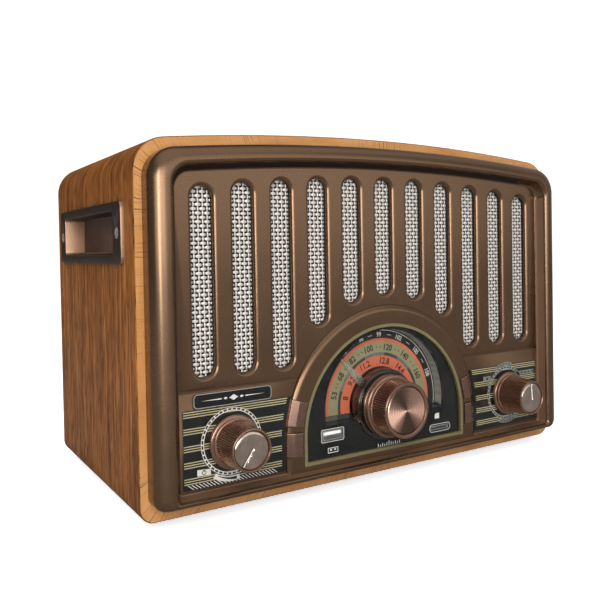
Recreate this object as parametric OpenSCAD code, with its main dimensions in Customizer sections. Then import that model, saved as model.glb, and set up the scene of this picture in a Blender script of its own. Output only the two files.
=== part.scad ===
/* [Cabinet] */
// Overall width of the wooden cabinet
cab_w = 300; // [290:1:320]
// Height of the wooden cabinet at the crown of its top, without feet
cab_h = 198.8; // [196:0.1:210]
// Depth of the wooden cabinet, front edge to rear edge
cab_d = 155.6; // [150:0.1:180]
// Thickness of the cabinet walls
wall = 9; // [8:0.5:10]
// Radius of the gently arched top
crown_r = 1340; // [1100:10:2000]
// Radius of the two upper corners
top_corner_r = 18; // [16:1:22]
// Radius of the two lower corners
low_corner_r = 8; // [7:0.5:10]
// Height of the rubber feet
foot_h = 4; // [3:0.5:8]

/* [Front] */
// Plane of the grille face, ahead of the cabinet's front edge
face_y = -6.5; // [-7:0.1:-6]
// Distance between neighbouring grille slots
slot_pitch = 23.28; // [22:0.01:23.4]
// Width of a grille slot where it meets the face
slot_w = 16; // [12:0.5:16]
// Number of grille slots on each side of the middle one
slots_aside = 5; // [3:1:5]

/* [Dial] */
// Outer radius of the gold line around the dial
arch_r = 59.3; // [58:0.1:60]
// Height of the centre of the dial arch
arch_z = 30.5; // [30:0.5:32]
// Height of the tuning axis
tuning_z = 41.3; // [41:0.1:42]
// Radius of the round dial window
window_r = 45; // [44:0.5:46]

/* [Knobs] */
// Distance of the two side knobs from the middle
knob_x = 101.7; // [100:0.1:104]
// Height of the two side knobs
knob_z = 36.1; // [35:0.1:38]
// Plane of the front rims of the two side knobs
knob_front_y = -28; // [-30:0.5:-26]
// Plane of the front rim of the tuning knob
tuning_front_y = -25; // [-27:0.5:-24]

/* [Aerial] */
// Length of the outer tube of the telescopic aerial
aerial_len = 158; // [150:1:165]

/* [Hidden] */
$fn = 72;

// --- Frame: X to the right, Y to the rear, Z up; the row origin is the box's bottom centre.
aerial_axis_y = cab_d + 5.4;
aerial_r = 3;
knuckle_r = 3.6;
rear_y = aerial_axis_y + knuckle_r;
front_y = -(rear_y + knob_front_y) / 2;
gap = 0.05;
eps = 0.01;

// --- Cabinet outline, measured inwards from the outside of the wood
corner_steps = 12;
crown_steps = 16;
bezel_in = 4.5;
face_in = 18.8;
panel_in = 16.05;
lining_in = wall + 0.3;

function arc(cx, cz, r, a0, a1, n) =
    [for (i = [0:n]) let (a = a0 + (a1 - a0) * i / n) [cx + r * cos(a), cz + r * sin(a)]];

// The bezel is narrower along the bottom than along the sides and the top.
function bottom_of(inset) = inset < bezel_in ? inset : 4.7 + (inset - bezel_in) * 0.62;

function outline_from(inset, low) =
    let (half = cab_w / 2 - inset,
        big_r = crown_r - inset,
        big_z = cab_h - inset - big_r,
        top_r = top_corner_r - 0.5 * inset,
        low_r = max(low_corner_r - 0.35 * inset, 1.2),
        top_x = half - top_r,
        top_z = big_z + sqrt(pow(big_r - top_r, 2) - pow(top_x, 2)),
        turn = atan2(top_z - big_z, top_x),
        crown = arc(0, big_z, big_r, turn, 180 - turn, crown_steps))
    concat(arc(half - low_r, low + low_r, low_r, -90, 0, corner_steps),
        arc(top_x, top_z, top_r, 0, turn, corner_steps),
        [for (i = [1:crown_steps - 1]) crown[i]],
        arc(-top_x, top_z, top_r, 180 - turn, 180, corner_steps),
        arc(-half + low_r, low + low_r, low_r, 180, 270, corner_steps));

function front_outline(inset) = outline_from(inset, bottom_of(inset));
function wood_outline(inset) = outline_from(inset, inset);

// --- Helpers: plates between two Y planes, and turned pieces on an axis along Y
module place() translate([0, front_y, foot_h]) children();

module slab(y0, y1) translate([0, y1, 0]) rotate([90, 0, 0]) linear_extrude(y1 - y0) children();

module slab_x(x0, x1) translate([x0, 0, 0]) rotate([90, 0, 90]) linear_extrude(x1 - x0) children();

module rod_y(r, y0, y1, x = 0, z = 0) translate([x, y0, z]) rotate([-90, 0, 0]) cylinder(r = r, h = y1 - y0);

module rod_x(r, x0, x1, y, z) translate([x0, y, z]) rotate([0, 90, 0]) cylinder(r = r, h = x1 - x0);

module turned(x, z, profile) translate([x, 0, z]) rotate([-90, 0, 0]) rotate_extrude() polygon(profile);

module box(x0, x1, y0, y1, z0, z1) translate([x0, y0, z0]) cube([x1 - x0, y1 - y0, z1 - z0]);

module round_rect(x0, x1, z0, z1, r) {
    translate([x0 + r, z0]) square([x1 - x0 - 2 * r, z1 - z0]);
    translate([x0, z0 + r]) square([x1 - x0, z1 - z0 - 2 * r]);
    for (x = [x0 + r, x1 - r], z = [z0 + r, z1 - r]) translate([x, z]) circle(r);
}

// An arch in the XZ plane: a half circle standing on straight sides
module arch(r, low) {
    intersection() {
        translate([0, arch_z]) circle(r);
        translate([-r, arch_z]) square([2 * r, r]);
    }
    translate([-r, low]) square([2 * r, arch_z - low]);
}

module both_sides() {
    children();
    mirror([1, 0, 0]) children();
}

// --- Wooden cabinet
cup_y = [28.5, 129];
cup_z = [133.5, 156];
cup_plate_y = [14, 141];
cup_plate_z = [128.5, 161];
cup_plate_t = 2;
cup_wall = 1.5;
cup_depth = 10;
cup_screw_y = [21.2, 135];
cup_screw_z = 144.75;
foot_x = 118;
foot_y = [22, 134];

module cabinet_shell() color("#8a5a34") place() difference() {
    slab(0, cab_d) difference() {
        polygon(wood_outline(0));
        polygon(wood_outline(wall));
    }
    for (s = [-1, 1]) {
        translate([s * (cab_w / 2 - wall / 2) - wall, cup_y[0] - cup_wall - 0.2, cup_z[0] - cup_wall - 0.2])
            cube([2 * wall, cup_y[1] - cup_y[0] + 2 * cup_wall + 0.4,
                cup_z[1] - cup_z[0] + 2 * cup_wall + 0.4]);
        for (y = cup_screw_y) mirror([s < 0 ? 0 : 1, 0, 0])
            rod_x(1.5 + gap, -cab_w / 2 - 1, -cab_w / 2 + 7, y, cup_screw_z);
    }
    for (x = [-foot_x, foot_x], y = foot_y) translate([x, y, -1]) cylinder(r = 2 + gap, h = 7);
}

module rubber_feet() color("#1b1b1b") for (x = [-foot_x, foot_x], y = foot_y)
    place() translate([x, y, -foot_h]) {
        cylinder(r = 9, h = foot_h);
        cylinder(r = 2, h = foot_h + 5);
    }

// --- Front bezel: a copper ring swept round the outline, with a rounded shoulder
bezel_profile = concat(
    [[bezel_in, 0], [bezel_in, -7]],
    [for (a = [15:15:90]) [bezel_in + 6.5 * (1 - cos(a)), -7 - 7 * sin(a)]],
    [[13.2, -13.6], [15, -11.7], [face_in, face_y - 0.5], [face_in, face_y - gap],
        [panel_in - 0.1, face_y - gap], [panel_in - 0.1, 0]]);

module front_bezel() color("#6a4630") place() {
    ring_n = len(front_outline(bezel_in));
    rows = len(bezel_profile);
    polyhedron(
        points = [for (p = bezel_profile) each [for (q = front_outline(p[0])) [q[0], p[1], q[1]]]],
        faces = [for (j = [0:rows - 1], i = [0:ring_n - 1])
            let (k = (j + 1) % rows, m = (i + 1) % ring_n)
            each [[j * ring_n + i, k * ring_n + i, j * ring_n + m],
                [j * ring_n + m, k * ring_n + i, k * ring_n + m]]]);
}

// --- Grille panel with its slots and the ridge round the dial
panel_back_y = -2.7;
ridge_y = -8.6;
ridge_crest_r = 67;
ridge_r = 70.5;
slot_arc_r = 950;
slot_top = 176.8;
slot_low = 68.5;
slot_clear_r = 82.4;
slot_taper = 2;
seam_z = 63.5;
stripe_low = 15;
stripe_high = 55;
trim_low = 15.4;
boss_x = [130.3, 130.3, 127, 127];
boss_z = [160, 100, 60.5, 18.5];

function slot_top_at(x) = slot_top - x * x / (2 * slot_arc_r) - slot_w / 2;
function slot_low_at(x) =
    max(slot_low + slot_w / 2, arch_z + sqrt(max(slot_clear_r * slot_clear_r - x * x, 0)));

module grille_slot(x) {
    z0 = slot_low_at(x);
    z1 = slot_top_at(x);
    wide = slot_w / 2;
    narrow = wide - slot_taper;
    for (z = [z0, z1]) translate([x, 0, z]) rotate([-90, 0, 0]) {
        translate([0, 0, face_y - eps]) cylinder(r1 = wide + eps, r2 = narrow, h = slot_taper + eps);
        translate([0, 0, face_y]) cylinder(r = narrow, h = 6);
    }
    translate([x, 0, z0]) linear_extrude(z1 - z0) polygon([[-wide - eps, face_y - eps],
        [wide + eps, face_y - eps], [narrow, face_y + slot_taper], [narrow, 0],
        [-narrow, 0], [-narrow, face_y + slot_taper]]);
}

ridge_profile = [[arch_r, panel_back_y], [arch_r, ridge_y], [ridge_crest_r, ridge_y],
    [68.6, -8.2], [69.8, -7.5], [ridge_r, face_y], [ridge_r, panel_back_y]];

// A profile of [radius, Y] carried round the arch and down both of its sides
module round_arch(profile, low) {
    intersection() {
        turned(0, arch_z, profile);
        box(-100, 100, -50, 50, arch_z, arch_z + 100);
    }
    both_sides() translate([0, 0, low]) linear_extrude(arch_z - low) polygon(profile);
}

key_angles = [6.8, 19];
key_low_z = [21.8, 34.5];
key_y = -9.5;
key_gap = 0.25;
key_in = 60.9;
key_profile = [[key_in, -1], [key_in, key_y], [66, key_y], [ridge_r - 0.4, -7.4],
    [ridge_r - 0.4, -1]];

module sector(a0, a1, r) polygon([[0, arch_z], [r * cos(a0), arch_z + r * sin(a0)],
    [r * cos(a1), arch_z + r * sin(a1)]]);

// Openings in the ridge in which the two keys of one side slide
module key_pockets() {
    edge = 0.22;
    intersection() {
        turned(0, arch_z, [[key_in - key_gap, -12], [ridge_r + eps, -12], [ridge_r + eps, 0],
            [key_in - key_gap, 0]]);
        slab(-13, 1) sector(key_angles[0] - edge, key_angles[1] + edge, 120);
    }
    box(key_in - key_gap, ridge_r + eps, -12, 0, key_low_z[0] - key_gap, key_low_z[1] + key_gap);
}

bushing_r = 3.5;

module grille_panel() color("#5a3f2c") place() difference() {
    union() {
        slab(face_y, panel_back_y) polygon(front_outline(panel_in));
        round_arch(ridge_profile, 13.7);
        box(-ridge_crest_r, ridge_crest_r, ridge_y, panel_back_y, 13.7, trim_low);
        both_sides() for (i = [0:len(boss_x) - 1]) rod_y(3, panel_back_y - 0.5, 0, boss_x[i], boss_z[i]);
    }
    slab(ridge_y - 1, 1) arch(arch_r, trim_low);
    for (i = [-slots_aside:slots_aside]) grille_slot(i * slot_pitch);
    both_sides() {
        difference() {
            box(0, 131.2, face_y - 1, face_y + 0.6, seam_z, seam_z + 1.2);
            slab(-12, 0) translate([0, arch_z]) circle(ridge_r);
        }
        key_pockets();
        rod_y(bushing_r + gap, face_y - 1, 0, knob_x, knob_z);
        for (i = [0:len(boss_x) - 1]) rod_y(1.25 + gap, face_y + 1.2, 1, boss_x[i], boss_z[i]);
    }
}

// --- Mesh and cloth behind the slots, and the board that carries the loudspeakers
mesh_y = [-2.6, -1.6];
cloth_y = [-1.55, -0.05];
baffle_y = [0, 6];
speaker_x = 82;
speaker_z = 126;
speaker_r = 39;

module mesh_outline() difference() {
    intersection() {
        polygon(front_outline(22));
        translate([-126.5, 64]) square([253, 140]);
    }
    arch(ridge_r + 1.5, 0);
}

module grille_mesh() color("#d8d8d6") place() slab(mesh_y[0], mesh_y[1]) mesh_outline();

module speaker_cloth() color("#111111") place() slab(cloth_y[0], cloth_y[1]) mesh_outline();

speaker_screw_r = 36.7;
speaker_screw_angles = [45, 135, 225, 315];

module speaker_screw_places() for (s = [-1, 1], a = speaker_screw_angles)
    translate([s * speaker_x + speaker_screw_r * cos(a), 0, speaker_z + speaker_screw_r * sin(a)])
        children();

module baffle_board() color("#3a2f28") place() difference() {
    slab(baffle_y[0], baffle_y[1]) difference() {
        polygon(wood_outline(wall + 0.2));
        arch(62, 12);
        translate([-124, 14]) square([248, 44]);
        for (s = [-1, 1]) translate([s * speaker_x, speaker_z]) circle(33);
    }
    speaker_screw_places() rod_y(1.4 + gap, 2, 7);
    both_sides() for (i = [0:len(boss_x) - 1]) rod_y(1.25 + gap, -1, 7, boss_x[i], boss_z[i]);
}

module front_panel_screws() color("#b8b8b8") place() both_sides() for (i = [0:len(boss_x) - 1]) {
    rod_y(1.25, face_y + 1.4, 6, boss_x[i], boss_z[i]);
    rod_y(2.6, 6, 7.6, boss_x[i], boss_z[i]);
}

// --- Loudspeakers: a basket, a paper cone and a magnet on each side
module speaker_frame() difference() {
    turned(speaker_x, speaker_z, [[33, 6], [speaker_r, 6], [speaker_r, 8], [34.3, 8], [25, 24],
        [25, 25.5], [10.5, 25.5], [10.5, 24], [23.6, 24], [33.8, 8], [33, 7.4]]);
    speaker_screw_places() rod_y(1.6, 5, 9);
    for (a = [0:60:300]) translate([speaker_x, 0, speaker_z]) rotate([0, a, 0])
        box(26, 40, 10.5, 21, -7, 7);
}

module speaker_cone() turned(speaker_x, speaker_z, [[32.6, 6.2], [32.6, 7], [31, 7.6], [30, 8.4],
    [10, 21], [10, 25.4], [9.2, 25.4], [9.2, 20.4], [0, 17], [0, 16.2], [9, 19.4],
    [29, 7.2], [30.4, 6.2]]);

module speaker_magnet() turned(speaker_x, speaker_z,
    [[0, 25.5], [22, 25.5], [22, 27.5], [20, 27.6], [20, 37], [17, 37.1], [17, 39], [0, 39]]);

module left_speaker_frame() color("#2a2a2c") place() mirror([1, 0, 0]) speaker_frame();
module right_speaker_frame() color("#2a2a2c") place() speaker_frame();
module left_speaker_cone() color("#1f1c1a") place() mirror([1, 0, 0]) speaker_cone();
module right_speaker_cone() color("#1f1c1a") place() speaker_cone();
module left_speaker_magnet() color("#4a4a4e") place() mirror([1, 0, 0]) speaker_magnet();
module right_speaker_magnet() color("#4a4a4e") place() speaker_magnet();

module speaker_screws() color("#b8b8b8") place() speaker_screw_places() {
    rod_y(1.4, 2.2, 8);
    rod_y(2.1, 8, 9.4);
}

// --- Dial: black panel with its round well, clear lens, gold line, printed plate and pointer
trim_w = 1.8;
lens_y = [-7.6, -6.6];
panel_t = 2;
plate_y = [1.4, 2.6];
well_low = 35;
hub_r = 21.5;
usb_x = [-46.7, -33.3];
usb_z = [27.1, 32.6];
card_x = [33.2, 47.8];
card_z = [20.9, 23.3];

module window_shape(grow) {
    intersection() {
        translate([0, tuning_z]) circle(window_r + grow);
        translate([-60, well_low - grow]) square([120, 80]);
    }
    translate([0, tuning_z]) circle(hub_r + 0.8 + grow);
}

module socket_holes(grow) {
    translate([usb_x[0] - grow, usb_z[0] - grow])
        square([usb_x[1] - usb_x[0] + 2 * grow, usb_z[1] - usb_z[0] + 2 * grow]);
    translate([card_x[0] - grow, card_z[0] - grow])
        square([card_x[1] - card_x[0] + 2 * grow, card_z[1] - card_z[0] + 2 * grow]);
}

module control_panel() color("#0e0e0f") place() {
    slab(lens_y[1], lens_y[1] + panel_t) difference() {
        arch(arch_r - trim_w - 0.05, trim_low + trim_w);
        window_shape(0);
        socket_holes(0.1);
    }
    slab(lens_y[1] + panel_t, plate_y[0]) difference() {
        window_shape(1.5);
        window_shape(0);
    }
}

module dial_lens() color([0.8, 0.85, 0.9, 0.35]) place() slab(lens_y[0], lens_y[1]) difference() {
    arch(arch_r - trim_w - 0.05, trim_low + trim_w);
    translate([0, tuning_z]) circle(19.2);
    socket_holes(0.1);
}

module dial_trim() color("#a8935c") place() slab(ridge_y, lens_y[1] + panel_t) difference() {
    arch(arch_r, trim_low);
    arch(arch_r - trim_w, trim_low + trim_w);
}

module dial_plate() color("#c9b98a") place() slab(plate_y[0], plate_y[1]) difference() {
    window_shape(1.5);
    translate([0, tuning_z]) circle(6);
}

spindle_r = 3;
pointer_angle = 134;
pointer_y = [0.65, 1.15];

module pointer_hub() color("#151414") place() turned(0, tuning_z, [[spindle_r + gap, -6.4],
    [20.7, -6.4], [hub_r, -5.8], [hub_r, 0.6], [spindle_r + gap, 0.6]]);

module dial_pointer() color("#d9d4c6") place() translate([0, 0, tuning_z])
    rotate([0, -pointer_angle, 0]) slab(pointer_y[0], pointer_y[1]) difference() {
        union() {
            circle(12);
            polygon([[6, -3.2], [22, -2.6], [40, -0.35], [40, 0.35], [22, 2.6], [6, 3.2]]);
        }
        circle(spindle_r + gap);
    }

// --- Tuning knob and the variable capacitor that it turns
module tuning_knob() color("#7a4a38") place() turned(0, tuning_z, [[spindle_r + gap, -6.7],
    [18.1, -6.7], [18.5, -7.1], [18.5, -11.2], [17.9, -11.9], [17.1, -12], [16, tuning_front_y + 0.6],
    [15.4, tuning_front_y], [14.2, tuning_front_y], [13.8, tuning_front_y + 0.8],
    [13.8, tuning_front_y + 2], [spindle_r + gap, tuning_front_y + 2]]);

module tuning_cap() color("#b5715a") place() turned(0, tuning_z, [[0, tuning_front_y + 0.5],
    [13.2, tuning_front_y + 0.7], [13.7, tuning_front_y + 1.1], [13.7, tuning_front_y + 2],
    [0, tuning_front_y + 2]]);

board_y = [5, 6.6];

module tuning_spindle() color("#c9c9cc") place() rod_y(spindle_r, tuning_front_y + 2.2, 18, 0, tuning_z);

module tuning_capacitor() color("#cfcabb") place() difference() {
    union() {
        box(-11, 11, board_y[1], board_y[1] + 16, tuning_z - 11, tuning_z + 11);
        rod_y(5, 2.8, board_y[1] + 1, 0, tuning_z);
    }
    rod_y(spindle_r + gap, 2, 18.4, 0, tuning_z);
}

// --- Side knobs: one shape, with a hollow behind the flange that clears the fixing nut
plate_face_y = face_y - 0.5;
knob_base_y = plate_face_y - 0.5;
cavity_y = knob_base_y - 4;

module side_knob(x) turned(x, knob_z, [[9.6, knob_base_y], [14, knob_base_y],
    [14.2, knob_base_y - 0.3], [13.9, knob_base_y - 2.2], [12.3, knob_base_y - 2.9],
    [10.9, knob_front_y + 0.7], [10.6, knob_front_y], [10, knob_front_y],
    [9.8, knob_front_y + 0.6], [9.8, knob_front_y + 1.6], [spindle_r + gap, knob_front_y + 1.6],
    [spindle_r + gap, cavity_y], [9.6, cavity_y]]);

module side_cap(x, angle) difference() {
    turned(x, knob_z, [[0, knob_front_y + 0.1], [9.3, knob_front_y + 0.5],
        [9.7, knob_front_y + 0.8], [9.7, knob_front_y + 1.6], [0, knob_front_y + 1.6]]);
    translate([x, 0, knob_z]) rotate([0, -angle, 0])
        box(-1.2, 9.2, knob_front_y - 1, knob_front_y + 1, -0.5, 0.5);
}

module side_spindle(x) rod_y(spindle_r, knob_front_y + 1.8, 7, x, knob_z);

module bushing_and_body(x, body_r, body_y) difference() {
    union() {
        rod_y(bushing_r, plate_face_y - 3.2, panel_back_y + 1, x, knob_z);
        rod_y(body_r, panel_back_y + eps, body_y, x, knob_z);
        children();
    }
    rod_y(spindle_r + gap, plate_face_y - 4, 7.4, x, knob_z);
}

module volume_knob() color("#7a4a38") place() side_knob(-knob_x);
module volume_cap() color("#3c3532") place() side_cap(-knob_x, 235);
module volume_spindle() color("#c9c9cc") place() side_spindle(-knob_x);
module volume_control() color("#8b8f94") place() bushing_and_body(-knob_x, 12, 9)
    box(-knob_x - 8, -knob_x + 8, 2, 3.5, knob_z - 19, knob_z);

module function_knob() color("#7a4a38") place() side_knob(knob_x);
module function_cap() color("#3c3532") place() side_cap(knob_x, 92);
module function_spindle() color("#c9c9cc") place() side_spindle(knob_x);
module function_switch() color("#a9763c") place() bushing_and_body(knob_x, 13, 11)
    box(knob_x - 15, knob_x + 15, 5, 6.4, knob_z - 15, knob_z + 15);

module control_nuts() color("#c2c2c4") place() for (x = [-knob_x, knob_x]) difference() {
    translate([x, plate_face_y - 2, knob_z]) rotate([-90, 0, 0]) cylinder(r = 6.2, h = 2, $fn = 6);
    rod_y(bushing_r + gap, plate_face_y - 3, plate_face_y + 1, x, knob_z);
}

// --- Printed plates on the face
stripe_x = 129.5;

module stripe_plate() difference() {
    slab(plate_face_y, face_y) difference() {
        round_rect(40, stripe_x, stripe_low, stripe_high, 1);
        arch(ridge_r + 0.3, 0);
    }
    rod_y(bushing_r + gap, plate_face_y - 1, face_y + 1, knob_x, knob_z);
}

module left_stripe_plate() color("#1b2120") place() mirror([1, 0, 0]) stripe_plate();
module right_stripe_plate() color("#1b2120") place() stripe_plate();

badge_x = [-123.7, -79];
badge_z = [55.4, 62.8];

module badge_plate() color("#101012") place() slab(face_y - 1, face_y)
    round_rect(badge_x[0], badge_x[1], badge_z[0], badge_z[1], 2.2);

// --- Push keys beside the dial, and the switches that they press
stem_y = 1.3;
switch_y = 2.8;

module upper_key() {
    intersection() {
        turned(0, arch_z, key_profile);
        slab(-20, 20) sector(key_angles[0], key_angles[1], 120);
    }
    rod_y(1.5, -1.5, stem_y, 63.6, 45.2);
}

module lower_key() {
    translate([0, 0, key_low_z[0]]) linear_extrude(key_low_z[1] - key_low_z[0]) polygon(key_profile);
    rod_y(1.5, -1.5, stem_y, 65.6, 28.2);
}

module upper_left_key() color("#8a5a46") place() mirror([1, 0, 0]) upper_key();
module lower_left_key() color("#8a5a46") place() mirror([1, 0, 0]) lower_key();
module upper_right_key() color("#8a5a46") place() upper_key();
module lower_right_key() color("#8a5a46") place() lower_key();

module key_switches() color("#2b2b2e") place() both_sides()
    for (p = [[63.6, 45.2], [65.6, 28.2]])
        box(p[0] - 3, p[0] + 3, switch_y, board_y[0], p[1] - 3, p[1] + 3);

// --- Sockets on the panel and the board behind them
module usb_socket() color("#c8c8c8") place() {
    difference() {
        box(usb_x[0], usb_x[1], lens_y[0] + 0.4, board_y[0], usb_z[0], usb_z[1]);
        box(usb_x[0] + 0.4, usb_x[1] - 0.4, lens_y[0], board_y[0] - 2, usb_z[0] + 0.4, usb_z[1] - 0.4);
    }
    box(usb_x[0] + 1.6, usb_x[1] - 1.6, lens_y[0] + 2, board_y[0] - 1.5, usb_z[1] - 2.6, usb_z[1] - 0.8);
}

module card_socket() color("#9a9a9c") place() difference() {
    box(card_x[0], card_x[1], lens_y[0] + 0.6, board_y[0], card_z[0], card_z[1]);
    box(card_x[0] + 0.6, card_x[1] - 0.6, lens_y[0], board_y[0] - 2, card_z[0] + 0.4, card_z[1] - 0.6);
}

module media_board() color("#1f5a38") place() slab(board_y[0], board_y[1]) difference() {
    translate([-72, 15]) square([144, 42.5]);
    translate([0, tuning_z]) circle(5.4);
}

// --- Handle cups let into both sides
module handle_cup() {
    x0 = -cab_w / 2;
    difference() {
        union() {
            slab_x(x0 - cup_plate_t, x0)
                round_rect(cup_plate_y[0], cup_plate_y[1], cup_plate_z[0], cup_plate_z[1], 4);
            slab_x(x0 - eps, x0 + cup_depth + cup_wall)
                round_rect(cup_y[0] - cup_wall, cup_y[1] + cup_wall,
                    cup_z[0] - cup_wall, cup_z[1] + cup_wall, 2);
        }
        slab_x(x0 - cup_plate_t - 1, x0 + cup_depth) round_rect(cup_y[0], cup_y[1], cup_z[0], cup_z[1], 1);
        for (y = cup_screw_y) {
            rod_x(1.5 + gap, x0 - 3, x0 + 1, y, cup_screw_z);
            rod_x(3.2, x0 - 3, x0 - 0.6, y, cup_screw_z);
        }
    }
}

module left_handle_cup() color("#2a2622") place() handle_cup();
module right_handle_cup() color("#2a2622") place() mirror([1, 0, 0]) handle_cup();

module handle_screws() color("#8d8d90") place() both_sides() for (y = cup_screw_y) difference() {
    union() {
        rod_x(3.1, -cab_w / 2 - 1.8, -cab_w / 2 - 0.6, y, cup_screw_z);
        rod_x(1.5, -cab_w / 2 - 0.7, -cab_w / 2 + 6.5, y, cup_screw_z);
    }
    for (a = [0, 90]) translate([-cab_w / 2 - 1.9, y, cup_screw_z]) rotate([a + 20, 0, 0])
        translate([0, -2, -0.4]) cube([0.9, 4, 0.8]);
}

// --- Rear panel, its battens and screws, and the mains inlet
rear_panel_y = [149.6, 152.6];
batten_y = [139.6, 149.6];
rear_screws = [[136, 40], [136, 100], [136, 160], [60, 14], [60, 182]];
inlet_x = [-108, -87];
inlet_z = [27, 38.6];
aerial_x = 118;
aerial_z = 170;
stem_r = 4;

module rear_panel() color("#17171a") place() difference() {
    slab(rear_panel_y[0], rear_panel_y[1]) difference() {
        polygon(wood_outline(lining_in));
        translate([inlet_x[0] - 2.2, inlet_z[0] - 2.2])
            square([inlet_x[1] - inlet_x[0] + 4.4, inlet_z[1] - inlet_z[0] + 4.4]);
    }
    both_sides() for (p = rear_screws) rod_y(1.6 + gap, 148, 154, p[0], p[1]);
    rod_y(stem_r + gap, 148, 154, aerial_x, aerial_z);
    for (i = [-6:6], z = [70, 105]) box(i * 9 - 1.5, i * 9 + 1.5, 148, 154, z, z + 28);
}

module rear_battens() color("#b98d5c") place() difference() {
    intersection() {
        slab(batten_y[0], batten_y[1]) polygon(wood_outline(wall + 0.05));
        union() {
            both_sides() box(131, 150, 130, 160, 26, 166);
            box(-105, 105, 130, 160, 0, 19);
            box(-95, 95, 130, 160, 176, 200);
        }
    }
    both_sides() for (p = rear_screws) rod_y(1.6 + gap, 141, 154, p[0], p[1]);
}

module rear_panel_screws() color("#2c2c2e") place() both_sides() for (p = rear_screws) {
    rod_y(1.6, 141.4, rear_panel_y[1], p[0], p[1]);
    rod_y(3, rear_panel_y[1], rear_panel_y[1] + 1.6, p[0], p[1]);
}

module mains_inlet() color("#0f0f10") place() {
    difference() {
        box(inlet_x[0] - 2, inlet_x[1] + 2, 133, rear_panel_y[1] + 0.8, inlet_z[0] - 2, inlet_z[1] + 2);
        box(inlet_x[0], inlet_x[1], 136, 160, inlet_z[0], inlet_z[1]);
    }
    mid_x = (inlet_x[0] + inlet_x[1]) / 2;
    for (s = [-1, 1]) rod_y(1.2, 135.5, 149, mid_x + s * 5.2, (inlet_z[0] + inlet_z[1]) / 2);
}

// --- Electronics on the cabinet floor and the ferrite aerial under the top
module main_board() color("#22613c") place() {
    box(-105, 45, 40, 120, 20, 21.6);
    for (x = [-99, 39], y = [46, 114]) translate([x, y, wall + 0.05]) cylinder(r = 3, h = 12);
    box(-100, -62, 62, 106, 21.5, 52);
    for (x = [-45, -28, -11]) translate([x, 100, 21.5]) cylinder(r = 6, h = 26);
    box(-50, 10, 46, 49, 21.5, 46);
    for (x = [-48:6:8]) box(x, x + 1.4, 49 - eps, 58, 21.5, 46);
    box(12, 38, 66, 96, 21.5, 33);
}

module battery_pack() color("#2f6fa8") place() {
    box(62, 102, 45, 117, wall + 0.05, 14);
    for (x = [72, 92]) translate([x, 47, 22]) rotate([-90, 0, 0]) cylinder(r = 9.2, h = 68);
}

rod_z = 172;
rod_at_y = 70;
coil_x = 45;

module ferrite_rod() color("#3b3836") place() rod_x(5, -80, 80, rod_at_y, rod_z);

module antenna_coils() color("#b0602c") place() difference() {
    intersection() {
        union() both_sides() {
            rod_x(8, coil_x, coil_x + 26, rod_at_y, rod_z);
            box(coil_x + 2, coil_x + 24, rod_at_y - 6, rod_at_y + 6, rod_z, 200);
        }
        slab(20, 120) polygon(wood_outline(wall + 0.05));
    }
    rod_x(5 + gap, -90, 90, rod_at_y, rod_z);
}

// --- Telescopic aerial on the rear panel, stowed level and pointing left
ear_z = [2.7, 4.9];
pin_r = 1.5;
tube_x = aerial_x - 6;

module aerial_foot() color("#3a3a3d") place() {
    rod_y(8, rear_panel_y[1] + 0.1, cab_d + 0.6, aerial_x, aerial_z);
    rod_y(stem_r, 147.6, rear_panel_y[1] + 0.2, aerial_x, aerial_z);
    rod_y(6.5, 147, 149.5, aerial_x, aerial_z);
    for (s = [-1, 1]) translate([aerial_x, 0, aerial_z + s * (ear_z[0] + ear_z[1]) / 2 - 1.1]) {
        translate([0, aerial_axis_y, 0]) cylinder(r = knuckle_r, h = 2.2);
        translate([-knuckle_r, cab_d + 0.5, 0]) cube([2 * knuckle_r, aerial_axis_y - cab_d - 0.5, 2.2]);
    }
    translate([aerial_x, aerial_axis_y, aerial_z - ear_z[1]]) cylinder(r = pin_r, h = 2 * ear_z[1]);
}

module aerial_tube() color("#c9c9cc") place() difference() {
    union() {
        rod_x(aerial_r, tube_x - aerial_len, tube_x, aerial_axis_y, aerial_z);
        translate([aerial_x, aerial_axis_y, aerial_z - 2.4]) cylinder(r = knuckle_r, h = 4.8);
        translate([tube_x - 2, aerial_axis_y - 2.4, aerial_z - 2.4]) cube([8, 4.8, 4.8]);
    }
    rod_x(2.3, tube_x - aerial_len - 1, tube_x - 4, aerial_axis_y, aerial_z);
    translate([aerial_x, aerial_axis_y, aerial_z - 5]) cylinder(r = pin_r + gap, h = 10);
}

module aerial_middle() color("#c9c9cc") place() difference() {
    rod_x(2.25, tube_x - aerial_len - 2, tube_x - 6, aerial_axis_y, aerial_z);
    rod_x(1.6, tube_x - aerial_len - 3, tube_x - 8, aerial_axis_y, aerial_z);
}

module aerial_tip() color("#d2d2d4") place() {
    rod_x(1.55, tube_x - aerial_len - 2.4, tube_x - 10, aerial_axis_y, aerial_z);
    rod_x(aerial_r, tube_x - aerial_len - 8, tube_x - aerial_len - 2.3, aerial_axis_y, aerial_z);
}

cabinet_shell();
front_bezel();
grille_panel();
grille_mesh();
speaker_cloth();
baffle_board();
rear_panel();
rear_battens();
rear_panel_screws();
front_panel_screws();
control_panel();
dial_lens();
dial_trim();
dial_plate();
pointer_hub();
dial_pointer();
tuning_knob();
tuning_cap();
tuning_spindle();
tuning_capacitor();
volume_knob();
volume_cap();
volume_spindle();
volume_control();
function_knob();
function_cap();
function_spindle();
function_switch();
control_nuts();
left_stripe_plate();
right_stripe_plate();
badge_plate();
upper_left_key();
lower_left_key();
upper_right_key();
lower_right_key();
key_switches();
usb_socket();
card_socket();
media_board();
left_speaker_frame();
left_speaker_cone();
left_speaker_magnet();
right_speaker_frame();
right_speaker_cone();
right_speaker_magnet();
speaker_screws();
left_handle_cup();
right_handle_cup();
handle_screws();
rubber_feet();
main_board();
ferrite_rod();
antenna_coils();
battery_pack();
mains_inlet();
aerial_foot();
aerial_tube();
aerial_middle();
aerial_tip();
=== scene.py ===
import math

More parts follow.
